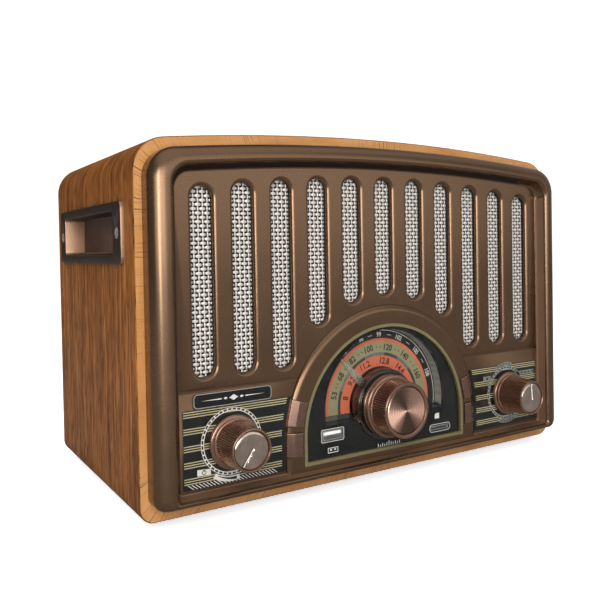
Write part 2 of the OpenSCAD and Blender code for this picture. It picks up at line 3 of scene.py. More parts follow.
import bmesh
import bpy
from mathutils import Matrix, Vector
from mathutils.geometry import delaunay_2d_cdt


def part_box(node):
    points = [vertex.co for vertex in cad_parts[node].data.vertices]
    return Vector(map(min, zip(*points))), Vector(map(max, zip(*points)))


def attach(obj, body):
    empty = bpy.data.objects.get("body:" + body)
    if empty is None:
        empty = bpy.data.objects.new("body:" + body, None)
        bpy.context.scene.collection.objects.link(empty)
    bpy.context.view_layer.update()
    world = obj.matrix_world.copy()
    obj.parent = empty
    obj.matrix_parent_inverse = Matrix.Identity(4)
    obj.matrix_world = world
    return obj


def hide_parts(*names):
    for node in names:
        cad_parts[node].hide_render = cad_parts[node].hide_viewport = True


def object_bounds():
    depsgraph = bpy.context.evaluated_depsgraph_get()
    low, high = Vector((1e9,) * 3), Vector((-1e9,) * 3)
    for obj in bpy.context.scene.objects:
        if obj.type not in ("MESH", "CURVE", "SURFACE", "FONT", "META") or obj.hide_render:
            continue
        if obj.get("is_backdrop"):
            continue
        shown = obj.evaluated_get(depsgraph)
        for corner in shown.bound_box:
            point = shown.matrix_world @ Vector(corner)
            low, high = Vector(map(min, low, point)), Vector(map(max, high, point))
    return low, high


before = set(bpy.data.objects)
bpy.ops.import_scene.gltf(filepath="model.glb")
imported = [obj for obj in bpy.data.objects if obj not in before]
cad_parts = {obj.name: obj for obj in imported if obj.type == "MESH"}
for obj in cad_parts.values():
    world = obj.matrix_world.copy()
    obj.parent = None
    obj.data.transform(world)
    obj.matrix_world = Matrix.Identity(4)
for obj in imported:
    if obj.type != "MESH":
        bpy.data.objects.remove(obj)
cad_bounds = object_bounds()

# --- Frame. Shapes are drawn in millimetres, X from the middle, Y back from the wood's front
# edge and Z up from the wood's underside; at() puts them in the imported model's frame in metres.
MM = 0.001
SHELL_LO, SHELL_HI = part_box("cabinet_shell")
CAB_W = (SHELL_HI.x - SHELL_LO.x) / MM
CAB_D = (SHELL_HI.y - SHELL_LO.y) / MM
CAB_H = (SHELL_HI.z - SHELL_LO.z) / MM
HALF_W = CAB_W / 2
WEAVE_Y = -2.1


def at(x, y, z):
    return (x * MM, SHELL_LO.y + y * MM, SHELL_LO.z + z * MM)


def local_box(node):
    """A node's box in the drawing frame: two corners in millimetres."""
    lo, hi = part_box(node)
    shift = Vector((0, SHELL_LO.y, SHELL_LO.z))
    return (lo - shift) / MM, (hi - shift) / MM


# --- Camera: a 42 mm lens left of the radio, level with the upper part of the grille
CAMERA_AT = (-0.25979, -0.39925, 0.13920)
CAMERA_YAW = math.radians(-31.5848)
CAMERA_PITCH = math.radians(-1.0749)
CAMERA_ROLL = math.radians(-1.0293)
CAMERA_LENS = 41.8578
CAMERA_SHIFT = (0.0032, -0.0645)


def make_camera():
    yaw, pitch, roll = CAMERA_YAW, CAMERA_PITCH, CAMERA_ROLL
    level = math.cos(pitch)
    forward = Vector((-math.sin(yaw) * level, math.cos(yaw) * level, math.sin(pitch)))
    right = Vector((math.cos(yaw), math.sin(yaw), 0))
    up = right.cross(forward)
    side = math.cos(roll) * right + math.sin(roll) * up
    top = -math.sin(roll) * right + math.cos(roll) * up
    data = bpy.data.cameras.new("photo_camera")
    data.sensor_width = 36
    data.lens = CAMERA_LENS
    data.shift_x, data.shift_y = CAMERA_SHIFT
    data.clip_start = 0.01
    camera = bpy.data.objects.new("photo_camera", data)
    matrix = Matrix((side, top, -forward)).transposed().to_4x4()
    matrix.translation = CAMERA_AT
    camera.matrix_world = matrix
    bpy.context.scene.collection.objects.link(camera)
    bpy.context.scene.camera = camera


make_camera()


# --- Outline of the cabinet, as in the CAD model, at any inset from the outside of the wood
CROWN_R = 1340
TOP_R = 18
LOW_R = 8
BEZEL_IN = 4.5


def arc(cx, cz, r, a0, a1, n):
    turns = [math.radians(a0 + (a1 - a0) * i / n) for i in range(n + 1)]
    return [(cx + r * math.cos(a), cz + r * math.sin(a)) for a in turns]


def circle(x, z, r, steps=14):
    return arc(x, z, r, 0, 360, steps)[:-1]


def bottom_of(inset):
    if inset < BEZEL_IN:
        return inset
    return 4.7 + (inset - BEZEL_IN) * 0.62


def outline_from(inset, low, corner=14, crown=44):
    half = HALF_W - inset
    big_r = CROWN_R - inset
    big_z = CAB_H - inset - big_r
    top_r = TOP_R - 0.5 * inset
    low_r = max(LOW_R - 0.35 * inset, 1.2)
    top_x = half - top_r
    top_z = big_z + math.sqrt((big_r - top_r) ** 2 - top_x ** 2)
    turn = math.degrees(math.atan2(top_z - big_z, top_x))
    roof = arc(0, big_z, big_r, turn, 180 - turn, crown)[1:-1]
    return (arc(half - low_r, low + low_r, low_r, -90, 0, corner)
            + arc(top_x, top_z, top_r, 0, turn, corner)
            + roof
            + arc(-top_x, top_z, top_r, 180 - turn, 180, corner)
            + arc(-half + low_r, low + low_r, low_r, 180, 270, corner))


def front_outline(inset, **steps):
    return outline_from(inset, bottom_of(inset), **steps)


def squeezed(points, drop, lift):
    """Lowers the upper part of an outline and lifts its lower part, most at top and bottom."""
    moved = []
    for x, z in points:
        away = (z - CAB_H / 2) / (CAB_H / 2)
        moved.append((x, z - drop * max(0, away) + lift * max(0, -away)))
    return moved


# --- Mesh helpers. A form is (points, faces) or (points, faces, material numbers).
def piece(name, form, body, slot, looks, smooth=30):
    """A new object from a form in millimetres, riding on a body; looks are names of finishes."""
    verts, faces, *mats = form
    mesh = bpy.data.meshes.new(name)
    mesh.from_pydata([at(*v) for v in verts], [], faces)
    mesh.validate()
    for look in looks.split():
        mesh.materials.append(LOOKS[look])
    if mats:
        mesh.polygons.foreach_set("material_index", mats[0])
    mesh.polygons.foreach_set("use_smooth", [True] * len(mesh.polygons))
    mesh.set_sharp_from_angle(angle=math.radians(smooth))
    obj = bpy.data.objects.new(name, mesh)
    bpy.context.scene.collection.objects.link(obj)
    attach(obj, body)
    return obj


def tidied(obj, weld=0, fill=False, front=False):
    """Welds points, fills holes and turns all faces outwards, or an open piece's to the front."""
    work = bmesh.new()
    work.from_mesh(obj.data)
    if weld:
        bmesh.ops.remove_doubles(work, verts=work.verts, dist=weld)
    if fill:
        bmesh.ops.holes_fill(work, edges=work.edges)
    bmesh.ops.recalc_face_normals(work, faces=work.faces)
    if front and sum(f.normal.y * f.calc_area() for f in work.faces) > 0:
        bmesh.ops.reverse_faces(work, faces=work.faces)
    work.to_mesh(obj.data)
    work.free()
    return obj


def weighted(obj):
    """Shades flat faces flat and lets only the narrow rounded edges turn."""
    mod = obj.modifiers.new("weighted", "WEIGHTED_NORMAL")
    mod.mode = "FACE_AREA"
    mod.weight = 100
    mod.keep_sharp = True
    return obj


def loft(rings, closed=True, cap=False):
    """Faces between rings of the same number of points; both end rings may be capped."""
    count = len(rings[0])
    verts = [p for ring in rings for p in ring]
    faces = []
    last = count if closed else count - 1
    for j in range(len(rings) - 1):
        for i in range(last):
            a = j * count + i
            b = j * count + (i + 1) % count
            faces.append((a, b, b + count, a + count))
    if cap:
        faces.append(tuple(reversed(range(count))))
        faces.append(tuple((len(rings) - 1) * count + i for i in range(count)))
    return verts, faces


def standing(points, y):
    """[x, z] points placed on a Y plane."""
    return [(px, y, pz) for px, pz in points]


class Shape:
    """Collects several forms into one."""

    def __init__(self):
        self.verts = []
        self.faces = []
        self.mats = []

    def __iter__(self):
        return iter((self.verts, self.faces, self.mats))

    def add(self, form, mat=0):
        verts, faces = form
        base = len(self.verts)
        self.verts.extend(verts)
        self.faces.extend(tuple(base + i for i in face) for face in faces)
        self.mats.extend([mat] * len(faces))

    def close(self, ring):
        """One face over a ring of points."""
        self.add((ring, [tuple(range(len(ring)))]))


def band(cx, cz, r0, r1, a0, a1, steps):
    """The outline of part of a ring, as one polygon."""
    return arc(cx, cz, r1, a0, a1, steps) + arc(cx, cz, r0, a1, a0, steps)


def rect(x0, x1, z0, z1):
    return [(x0, z0), (x1, z0), (x1, z1), (x0, z1)]


def round_rect(x0, x1, z0, z1, r, steps=6):
    return (arc(x1 - r, z0 + r, r, -90, 0, steps) + arc(x1 - r, z1 - r, r, 0, 90, steps)
            + arc(x0 + r, z1 - r, r, 90, 180, steps) + arc(x0 + r, z0 + r, r, 180, 270, steps))


def inside(px, pz, loop_points):
    hit = False
    for i in range(len(loop_points)):
        x0, z0 = loop_points[i - 1]
        x1, z1 = loop_points[i]
        if (z0 > pz) != (z1 > pz) and px < (x1 - x0) * (pz - z0) / (z1 - z0) + x0:
            hit = not hit
    return hit


def filled(loops, y, extra=()):
    """A flat face on a Y plane: the first loop is its edge, the others are holes; extra loops are
    only drawn through it, so that it can be bent."""
    points = []
    edges = []
    for loop_points in list(loops) + list(extra):
        base = len(points)
        points.extend(Vector(p) for p in loop_points)
        count = len(loop_points)
        edges.extend((base + i, base + (i + 1) % count) for i in range(count))
    verts, _, faces, _, _, _ = delaunay_2d_cdt(points, edges, [], 0, 1e-5)
    kept = []
    for face in faces:
        px = sum(verts[i].x for i in face) / len(face)
        pz = sum(verts[i].y for i in face) / len(face)
        if inside(px, pz, loops[0]) and not any(inside(px, pz, hole) for hole in loops[1:]):
            kept.append(tuple(face))
    return [(v.x, y, v.y) for v in verts], kept


# --- Material helpers. Scales are per millimetre, so a scale of 4 makes marks of about 0.25 mm.
def plug(mat, value, socket):
    if isinstance(value, bpy.types.NodeSocket):
        mat.node_tree.links.new(value, socket)
    else:
        socket.default_value = value


def add(mat, kind, props=None, **inputs):
    """A node; inputs are by name with _ for a space, or by number as i0, i1 and so on."""
    node = mat.node_tree.nodes.new("ShaderNode" + kind)
    for key, value in (props or {}).items():
        setattr(node, key, value)
    for key, value in inputs.items():
        by_number = key[0] == "i" and key[1:].isdigit()
        socket = node.inputs[int(key[1:])] if by_number else node.inputs[key.replace("_", " ")]
        plug(mat, value, socket)
    return node


def start(name):
    mat = bpy.data.materials.new(name)
    mat.use_nodes = True
    mat.node_tree.nodes.clear()
    return mat


def show(mat, shader):
    plug(mat, shader.outputs[0], add(mat, "OutputMaterial").inputs[0])
    return mat


def surface(mat, colour, rough, height, depth, **settings):
    """Ends a material with its shader and a bump of a real depth in millimetres."""
    rise = add(mat, "Bump", Height=height, Strength=1.0, Distance=depth * MM).outputs[0]
    return show(mat, add(mat, "BsdfPrincipled", Base_Color=colour, Roughness=rough, Normal=rise,
                         **settings))


def place(mat, scale=(1, 1, 1)):
    """Coordinates in millimetres times a scale."""
    source = add(mat, "TexCoord").outputs["Object"]
    return add(mat, "Mapping", Vector=source, Scale=tuple(s / MM for s in scale)).outputs[0]


def grain_of(mat):
    return add(mat, "UVMap", {"uv_map": "grain"}).outputs[0]


def noise(mat, vector, scale=1.0, detail=3.0, rough=0.55):
    return add(mat, "TexNoise", Vector=vector, Scale=scale, Detail=detail,
               Roughness=rough).outputs[0]


def grain_noise(mat, source, scale, detail, rough=0.55):
    """Noise stretched along the grain of the wood."""
    return noise(mat, add(mat, "Mapping", Vector=source, Scale=scale + (1,)).outputs[0], 1.0,
                 detail, rough)


def remap(mat, value, low, high, to_low=0.0, to_high=1.0, props=None):
    return add(mat, "MapRange", {"clamp": True, **(props or {})}, Value=value, i1=low, i2=high,
               i3=to_low, i4=to_high).outputs[0]


def maths(mat, kind, a, b=0.0):
    return add(mat, "Math", {"operation": kind}, i0=a, i1=b).outputs[0]


def vectors(mat, kind, a, b=None, out=0):
    inputs = {"i0": a} if b is None else {"i0": a, "i1": b}
    return add(mat, "VectorMath", {"operation": kind}, **inputs).outputs[out]


def mix(mat, factor, a, b, kind="MIX"):
    return add(mat, "Mix", {"data_type": "RGBA", "blend_type": kind}, i0=factor, i6=a,
               i7=b).outputs[2]


def ramp(mat, value, stops):
    node = add(mat, "ValToRGB", i0=value)
    points = node.color_ramp.elements
    while len(points) < len(stops):
        points.new(0.5)
    for point, (where, colour) in zip(points, stops):
        point.position = where
        point.color = colour
    return node.outputs[0]


def rgb(code):
    """A linear colour from a hexadecimal one."""
    parts = [int(code[i:i + 2], 16) / 255 for i in (0, 2, 4)]
    linear = [p / 12.92 if p <= 0.04045 else ((p + 0.055) / 1.055) ** 2.4 for p in parts]
    return tuple(linear) + (1.0,)


def scaled(colour, gain):
    return tuple(min(c * gain, 1.0) for c in colour[:3]) + (1.0,)


def edge_mask(mat, radius):
    """1 on sharp edges and 0 on flat ground, from how far a bevel would turn the normal."""
    rounded = add(mat, "Bevel", {"samples": 4}, Radius=radius * MM).outputs[0]
    normal = add(mat, "NewGeometry").outputs["Normal"]
    return remap(mat, vectors(mat, "DOT_PRODUCT", rounded, normal, "Value"), 0.995, 0.85)


def finish_of(name, code, rough, metal, vary, patch, grain, depth, swing=0.08, coat=0.0,
              wear=None, wear_size=0.3, stretch=(1, 1, 1)):
    """A plain paint, plastic or metal: uneven colour, uneven gloss and a fine grain, and on some a
    lighter colour along sharp edges that is partly wear and partly painted highlight.
    """
    mat = start(name)
    colour = rgb(code)
    where = place(mat, stretch)
    broad = noise(mat, where, patch, 4.0)
    fine = noise(mat, where, grain, 2.0)
    dark, light = scaled(colour, 1 - vary), scaled(colour, 1 + vary)
    shade = mix(mat, remap(mat, broad, 0.3, 0.7), dark, light)
    shade = mix(mat, remap(mat, fine, 0.35, 0.65, 0, 0.35), shade, scaled(colour, 1 - 1.6 * vary))
    # Lighter edges: partly wear, partly a painted highlight along edges and rib crests.
    if wear is not None:
        edge_patches = remap(mat, broad, 0.35, 0.6, 0.35, 1)
        shade = mix(mat, maths(mat, "MULTIPLY", edge_mask(mat, wear_size), edge_patches), shade, rgb(wear))
    blend = maths(mat, "ADD", maths(mat, "MULTIPLY", broad, 0.6), maths(mat, "MULTIPLY", fine, 0.4))
    gloss = remap(mat, blend, 0.3, 0.7, rough - swing, rough + swing)
    return surface(mat, shade, gloss, fine, depth, Metallic=metal, Coat_Weight=coat,
                   Coat_Roughness=0.08)


# --- Wood: brown veneer whose grain runs round the cabinet, and a paler strip along the front
def contour(mat, value, level, width):
    """1 along a level of a noise, falling to 0 on both sides: a thin wandering line."""
    off = maths(mat, "ABSOLUTE", maths(mat, "SUBTRACT", value, level))
    return remap(mat, off, 0.0, width, 1.0, 0.0)


def veneer(name, light, mid, dark, streak):
    mat = start(name)
    light, mid, dark, streak = rgb(light), rgb(mid), rgb(dark), rgb(streak)
    drift = grain_noise(mat, grain_of(mat), (0.012, 0.05), 2.0)
    bend = add(mat, "CombineXYZ", i1=maths(mat, "MULTIPLY", drift, 9.0)).outputs[0]
    source = vectors(mat, "ADD", grain_of(mat), bend)
    cloud = grain_noise(mat, source, (0.010, 0.035), 3.0, 0.6)
    bands = grain_noise(mat, source, (0.006, 0.22), 4.0, 0.6)
    grain = grain_noise(mat, source, (0.012, 0.46), 2.0, 0.5)
    hairs = grain_noise(mat, source, (0.050, 3.2), 2.0, 0.6)
    broken = grain_noise(mat, source, (0.045, 0.30), 2.0, 0.6)
    shade = ramp(mat, bands, [(0.36, dark), (0.50, mid), (0.64, light)])
    shade = mix(mat, remap(mat, cloud, 0.35, 0.65, 0, 0.5), shade, scaled(light, 1.1))
    line = maths(mat, "MAXIMUM", contour(mat, grain, 0.42, 0.030), contour(mat, grain, 0.58, 0.030))
    line = maths(mat, "MAXIMUM", line, contour(mat, grain, 0.50, 0.026))
    line = maths(mat, "MULTIPLY", line, remap(mat, broken, 0.34, 0.50, 0.6, 1.0))
    shade = mix(mat, line, shade, streak)
    shade = mix(mat, remap(mat, hairs, 0.52, 0.72, 0, 0.5), shade, streak)
    dips = maths(mat, "ADD", maths(mat, "MULTIPLY", line, 0.7),
                 remap(mat, hairs, 0.52, 0.72, 0, 0.3))
    return surface(mat, shade, remap(mat, line, 0, 1, 0.42, 0.62),
                   maths(mat, "SUBTRACT", 1.0, dips), 0.06, Specular_IOR_Level=0.2)


def edge_strip(name, pale, warm, tick):
    """The front edge of the wood: pale and smooth, with short dark marks across it."""
    mat = start(name)
    source = grain_of(mat)
    tone = grain_noise(mat, source, (0.03, 0.12), 3.0)
    marks = grain_noise(mat, source, (0.85, 0.02), 1.0, 0.3)
    group = grain_noise(mat, source, (0.017, 0.02), 2.0)
    grain = grain_noise(mat, source, (2.5, 0.3), 2.0)
    shade = mix(mat, remap(mat, tone, 0.3, 0.7), rgb(pale), rgb(warm))
    off = maths(mat, "MULTIPLY", maths(mat, "SUBTRACT", marks, 0.585), 40.0)
    line = maths(mat, "SUBTRACT", 1.0, maths(mat, "ABSOLUTE", off))
    line = remap(mat, line, 0.0, 0.7)
    line = maths(mat, "MULTIPLY", line, remap(mat, group, 0.46, 0.56, 0.0, 1.0))
    shade = mix(mat, maths(mat, "MULTIPLY", line, 0.85), shade, rgb(tick))
    shade = mix(mat, remap(mat, grain, 0.55, 0.8, 0, 0.3), shade, rgb(tick))
    return surface(mat, shade, remap(mat, grain, 0.3, 0.7, 0.40, 0.55),
                   maths(mat, "SUBTRACT", 1.0, line), 0.04)


# --- Other special finishes
def spun(name, code, centre, rough):
    """Copper turned round an axis along Y, with fine rings, and a painted highlight in sectors
    round the axis, where the colour is lighter and less metallic.
    """
    mat = start(name)
    colour = rgb(code)
    moved = vectors(mat, "SUBTRACT", add(mat, "TexCoord").outputs["Object"], centre)
    flat = vectors(mat, "MULTIPLY", moved, (1 / MM, 0, 1 / MM))
    distance = vectors(mat, "LENGTH", flat, out="Value")
    rings = noise(mat, add(mat, "CombineXYZ", i0=distance).outputs[0], 3.5, 4.0, 0.7)
    parts = add(mat, "SeparateXYZ", Vector=flat)
    # Painted highlight: two broad and three narrow sectors round the axis, fixed to the cap.
    turn = maths(mat, "ARCTAN2", parts.outputs[2], parts.outputs[0])
    twice = maths(mat, "MULTIPLY", turn, 2.0)
    wedge = maths(mat, "COSINE", maths(mat, "SUBTRACT", twice, 0.35))
    thrice = maths(mat, "MULTIPLY", maths(mat, "ADD", turn, 0.6), 3.0)
    sharp = maths(mat, "MULTIPLY", maths(mat, "COSINE", thrice), 0.5)
    painted_highlight_wedges = maths(mat, "ADD", wedge, sharp)
    tone = mix(mat, remap(mat, rings, 0.3, 0.7), scaled(colour, 0.72), scaled(colour, 1.1))
    tone = mix(mat, 1.0, tone, remap(mat, painted_highlight_wedges, -0.9, 1.1, 0.30, 1.6), "MULTIPLY")
    tangent = add(mat, "Tangent", {"direction_type": "RADIAL", "axis": "Y"}).outputs[0]
    gloss = remap(mat, rings, 0.3, 0.7, rough - 0.05, rough + 0.07)
    return surface(mat, tone, gloss, rings, 0.012, Tangent=tangent, Anisotropic=0.85,
                   Metallic=remap(mat, painted_highlight_wedges, 0.4, 1.4, 1.0, 0.45))


def clear_pane(name, index):
    """A thin clear cover: it lets everything through and mirrors a little, more at a slant."""
    mat = start(name)
    through = add(mat, "BsdfTransparent", Color=(0.93, 0.94, 0.93, 1))
    smear = noise(mat, place(mat), 0.25, 3.0)
    gloss = add(mat, "BsdfGlossy", Roughness=remap(mat, smear, 0.35, 0.7, 0.02, 0.08))
    behind = add(mat, "NewGeometry").outputs["Backfacing"]
    there = maths(mat, "SUBTRACT", index, maths(mat, "MULTIPLY", behind, index - 1 / index))
    facing = add(mat, "Fresnel", IOR=there).outputs[0]
    return show(mat, add(mat, "MixShader", i0=facing, i1=through.outputs[0], i2=gloss.outputs[0]))


def brushed(name, code, rough, stretch):
    """Metal with fine parallel scratches along one direction."""
    mat = start(name)
    colour = rgb(code)
    scratch = noise(mat, place(mat, stretch), 1.0, 4.0, 0.7)
    broad = noise(mat, place(mat), 0.08, 3.0)
    tone = mix(mat, remap(mat, scratch, 0.3, 0.7), scaled(colour, 0.85), scaled(colour, 1.1))
    tone = mix(mat, remap(mat, broad, 0.4, 0.7, 0, 0.4), tone, scaled(colour, 0.8))
    return surface(mat, tone, remap(mat, scratch, 0.3, 0.7, rough - 0.06, rough + 0.08), scratch,
                   0.006, Metallic=1.0)


def threads(mat, direction, scale, bend):
    """Bands like threads laid side by side."""
    return add(mat, "TexWave", {"wave_type": "BANDS", "bands_direction": direction},
               Vector=place(mat), Scale=scale, Distortion=bend).outputs[1]


def cloth(name, code):
    """Fine black woven cloth."""
    mat = start(name)
    both = maths(mat, "MAXIMUM", threads(mat, "X", 0.35, 0.6), threads(mat, "Z", 0.35, 0.6))
    tone = mix(mat, both, scaled(rgb(code), 0.5), scaled(rgb(code), 1.4))
    return surface(mat, tone, remap(mat, both, 0, 1, 0.8, 0.95), both, 0.12)


def printed_circuit(name, mask, track):
    """Green board with paler tracks and pads."""
    mat = start(name)
    cells = add(mat, "TexVoronoi", {"feature": "DISTANCE_TO_EDGE", "distance": "CHEBYCHEV"},
                Vector=place(mat), Scale=0.22).outputs["Distance"]
    fine = noise(mat, place(mat), 2.0, 2.0)
    shade = mix(mat, remap(mat, cells, 0.03, 0.07), rgb(track), rgb(mask))
    shade = mix(mat, remap(mat, fine, 0.5, 0.7, 0, 0.3), shade, scaled(rgb(mask), 0.7))
    return surface(mat, shade, remap(mat, fine, 0.3, 0.7, 0.3, 0.5),
                   remap(mat, cells, 0.03, 0.07, 1, 0), 0.03)


def woven_wire(name, code, deep):
    """Bright wire with painted shade: darker the further back it lies, where it dips behind its
    neighbours.
    """
    mat = start(name)
    colour = rgb(code)
    depth = add(mat, "SeparateXYZ", Vector=place(mat)).outputs[1]
    front = (SHELL_LO.y / MM) + WEAVE_Y
    fine = noise(mat, place(mat), 2.5, 2.0)
    # Painted shade: from the wire's own colour at the front of the weave to near black behind it.
    tone = mix(mat, remap(mat, depth, front - 0.22, front + 0.18), colour, rgb(deep))
    tone = mix(mat, remap(mat, fine, 0.4, 0.7, 0, 0.25), tone, scaled(colour, 0.6))
    return surface(mat, tone, remap(mat, fine, 0.3, 0.7, 0.30, 0.42), fine, 0.01, Metallic=0.35)


def windings(name, code, pitch):
    """Enamelled wire wound round an axis along X."""
    mat = start(name)
    colour = rgb(code)
    wave = threads(mat, "X", 0.314 / pitch, 0.0)
    fine = noise(mat, place(mat), 0.8, 2.0)
    tone = mix(mat, wave, scaled(colour, 0.35), scaled(colour, 1.2))
    tone = mix(mat, remap(mat, fine, 0.4, 0.7, 0, 0.3), tone, scaled(colour, 0.6))
    return surface(mat, tone, remap(mat, fine, 0.3, 0.7, 0.25, 0.4), wave, 0.15, Metallic=0.8)


# --- Finishes of this radio. A plain one is: colour, roughness, metal, swing of the colour, scale
# of its patches, scale and depth of its grain, and what a few of them have beside that.
PLAIN = {
    "bronze_paint": ("836750", 0.25, 0.94, 0.05, 0.03, 2.2, 0.003,
                     {"swing": 0.04, "wear": "b39a80"}),
    "soft_bronze": ("6d523e", 0.5, 0.3, 0.05, 0.05, 2.5, 0.003),
    # painted shade: a dark bronze for the shaded inner wall of the bezel and the walls of the slots
    "deep_bronze": ("241a14", 0.5, 0.3, 0.15, 0.1, 2.2, 0.004),
    # On the knobs and keys the lighter edge colour is a painted highlight on rib crests and key
    # edges.
    "knob_copper": ("a47c68", 0.22, 0.88, 0.07, 0.05, 3.0, 0.002,
                    {"swing": 0.04, "wear": "dcb8a2", "wear_size": 0.14}),
    # painted shade in the gaps between the ribs of the knobs
    "deep_copper": ("1f1310", 0.4, 0.4, 0.2, 0.2, 3.0, 0.003),
    "rim_copper": ("9a7968", 0.20, 0.85, 0.05, 0.05, 3.0, 0.002, {"swing": 0.03}),
    "key_copper": ("8a6d60", 0.24, 0.85, 0.05, 0.05, 2.0, 0.005, {"wear": "e6d0be"}),
    # painted reflection: broad lighter and darker patches in the colour of the mirror caps
    "cap_mirror": ("d9c3b4", 0.07, 1.0, 0.3, 0.12, 2.0, 0.001, {"swing": 0.04}),
    "cup_plastic": ("33291f", 0.42, 0.2, 0.06, 0.05, 3.0, 0.006, {"wear": "9c8272"}),
    # painted highlight: a bright copper on the ends of the finger cups that catch light
    "cup_edge": ("b08a70", 0.32, 0.7, 0.06, 0.1, 3.0, 0.003),
    "cup_floor": ("3a281e", 0.45, 0.3, 0.06, 0.1, 3.0, 0.004),
    "gloss_black": ("0b0b0c", 0.12, 0, 0.3, 0.05, 1.0, 0.001, {"swing": 0.04, "coat": 0.4}),
    "hub_black": ("0d0c0c", 0.16, 0, 0.3, 0.2, 1.5, 0.002,
                  {"swing": 0.05, "coat": 0.8, "wear": "5b4a42"}),
    "dial_black": ("0c0c0d", 0.4, 0, 0.3, 0.2, 3.0, 0.002),
    "plate_black": ("0e1312", 0.30, 0, 0.1, 0.1, 3.0, 0.003, {"coat": 0.3}),
    "badge_black": ("0e0d0e", 0.2, 0, 0.3, 0.2, 3.0, 0.002, {"coat": 0.4}),
    # painted light: a grey for the lit wall of the dial's well
    "well_lining": ("a3a39a", 0.4, 0, 0.25, 0.4, 1.0, 0.01, {"stretch": (1, 0.1, 1)}),
    "gold_print": ("857c58", 0.38, 0.35, 0.1, 0.3, 5.0, 0.003),
    "stripe_gold": ("bcb38a", 0.42, 0.1, 0.12, 0.4, 5.0, 0.002),
    "silver_ink": ("e4e2dc", 0.4, 0.2, 0.08, 0.5, 5.0, 0.002),
    # white ink for print, also a painted highlight on the dial edge and in the cap grooves
    "white_ink": ("f2f2ee", 0.5, 0, 0.08, 0.5, 5.0, 0.002),
    "pale_grey_ink": ("a3a6a4", 0.5, 0, 0.12, 0.5, 5.0, 0.002),
    "grey_ink": ("7a7d7b", 0.5, 0, 0.12, 0.5, 5.0, 0.002),
    "dark_grey_ink": ("3c4444", 0.5, 0, 0.12, 0.5, 5.0, 0.002),
    "dull_ink": ("6e675b", 0.5, 0, 0.12, 0.5, 5.0, 0.002),
    # black ink for print, also a painted shade on the floors of the cap grooves
    "black_ink": ("26201a", 0.5, 0, 0.2, 0.5, 5.0, 0.002),
    "coral_ink": ("f07a55", 0.5, 0, 0.07, 0.1, 5.0, 0.002),
    "khaki_ink": ("a8a078", 0.5, 0, 0.07, 0.1, 5.0, 0.002),
    "needle": ("d6d0c4", 0.3, 0.7, 0.08, 0.4, 4.0, 0.003),
    "screw_silver": ("a8a49a", 0.3, 0.4, 0.1, 0.5, 5.0, 0.004),
    "zinc_steel": ("b4b4b6", 0.35, 1.0, 0.12, 0.5, 3.0, 0.008,
                   {"wear": "e6e6e6", "wear_size": 0.15}),
    "black_steel": ("1c1c1f", 0.4, 0.6, 0.2, 0.3, 3.0, 0.01,
                    {"wear": "6a6a6e", "wear_size": 0.2}),
    "black_plastic": ("141416", 0.45, 0, 0.2, 0.05, 1.6, 0.03,
                      {"wear": "3a3a3d", "wear_size": 0.4}),
    "white_tongue": ("f4f4f0", 0.3, 0, 0.04, 0.2, 2.0, 0.005),
    "cream_plastic": ("cfc8b4", 0.4, 0, 0.08, 0.1, 2.0, 0.01),
    "amber_laminate": ("a8743a", 0.5, 0, 0.15, 0.3, 2.0, 0.02),
    "battery_wrap": ("2f6ca5", 0.3, 0, 0.1, 0.1, 1.5, 0.01, {"coat": 0.3}),
    "foot_rubber": ("17171a", 0.75, 0, 0.25, 0.2, 1.5, 0.04),
    "paper_cone": ("25211f", 0.85, 0, 0.2, 0.2, 1.2, 0.08),
    "ferrite": ("3a3634", 0.55, 0.2, 0.2, 0.2, 2.0, 0.03),
    "raw_board": ("b48a5a", 0.8, 0, 0.15, 0.3, 2.5, 0.05),
    "fibreboard": ("4a372b", 0.85, 0, 0.2, 0.4, 1.5, 0.08),
    "raw_pine": ("c49a66", 0.7, 0, 0.18, 0.2, 1.2, 0.05, {"stretch": (1, 1, 0.1)}),
}
PLAIN_PARTS = 7
CAP_LO, CAP_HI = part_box("tuning_cap")
SPECIAL = {
    "walnut_veneer": (veneer, "ac6c2e", "864e1c", "603312", "150b05"),
    "pale_edge": (edge_strip, "d19a60", "bd8245", "4a2a14"),
    "spun_copper": (spun, "d9ae9a", (CAP_LO + CAP_HI) / 2, 0.24),
    # The second colour of the wire is its painted shade.
    "mesh_wire": (woven_wire, "e4dfd8", "141312"),
    "black_cloth": (cloth, "101010"),
    "clear_cover": (clear_pane, 1.45),
    "chrome": (brushed, "d5d5d6", 0.14, (0.05, 4, 4)),
    "socket_steel": (brushed, "e6e6e6", 0.35, (0.3, 4, 4)),
    "green_board": (printed_circuit, "1d5a36", "3f8a55"),
    "copper_winding": (windings, "b8662f", 0.6),
}
LOOKS = {}
for look, row in PLAIN.items():
    LOOKS[look] = finish_of(look, *row[:PLAIN_PARTS], **dict(*row[PLAIN_PARTS:]))
for look, (maker, *settings) in SPECIAL.items():
    LOOKS[look] = maker(look, *settings)

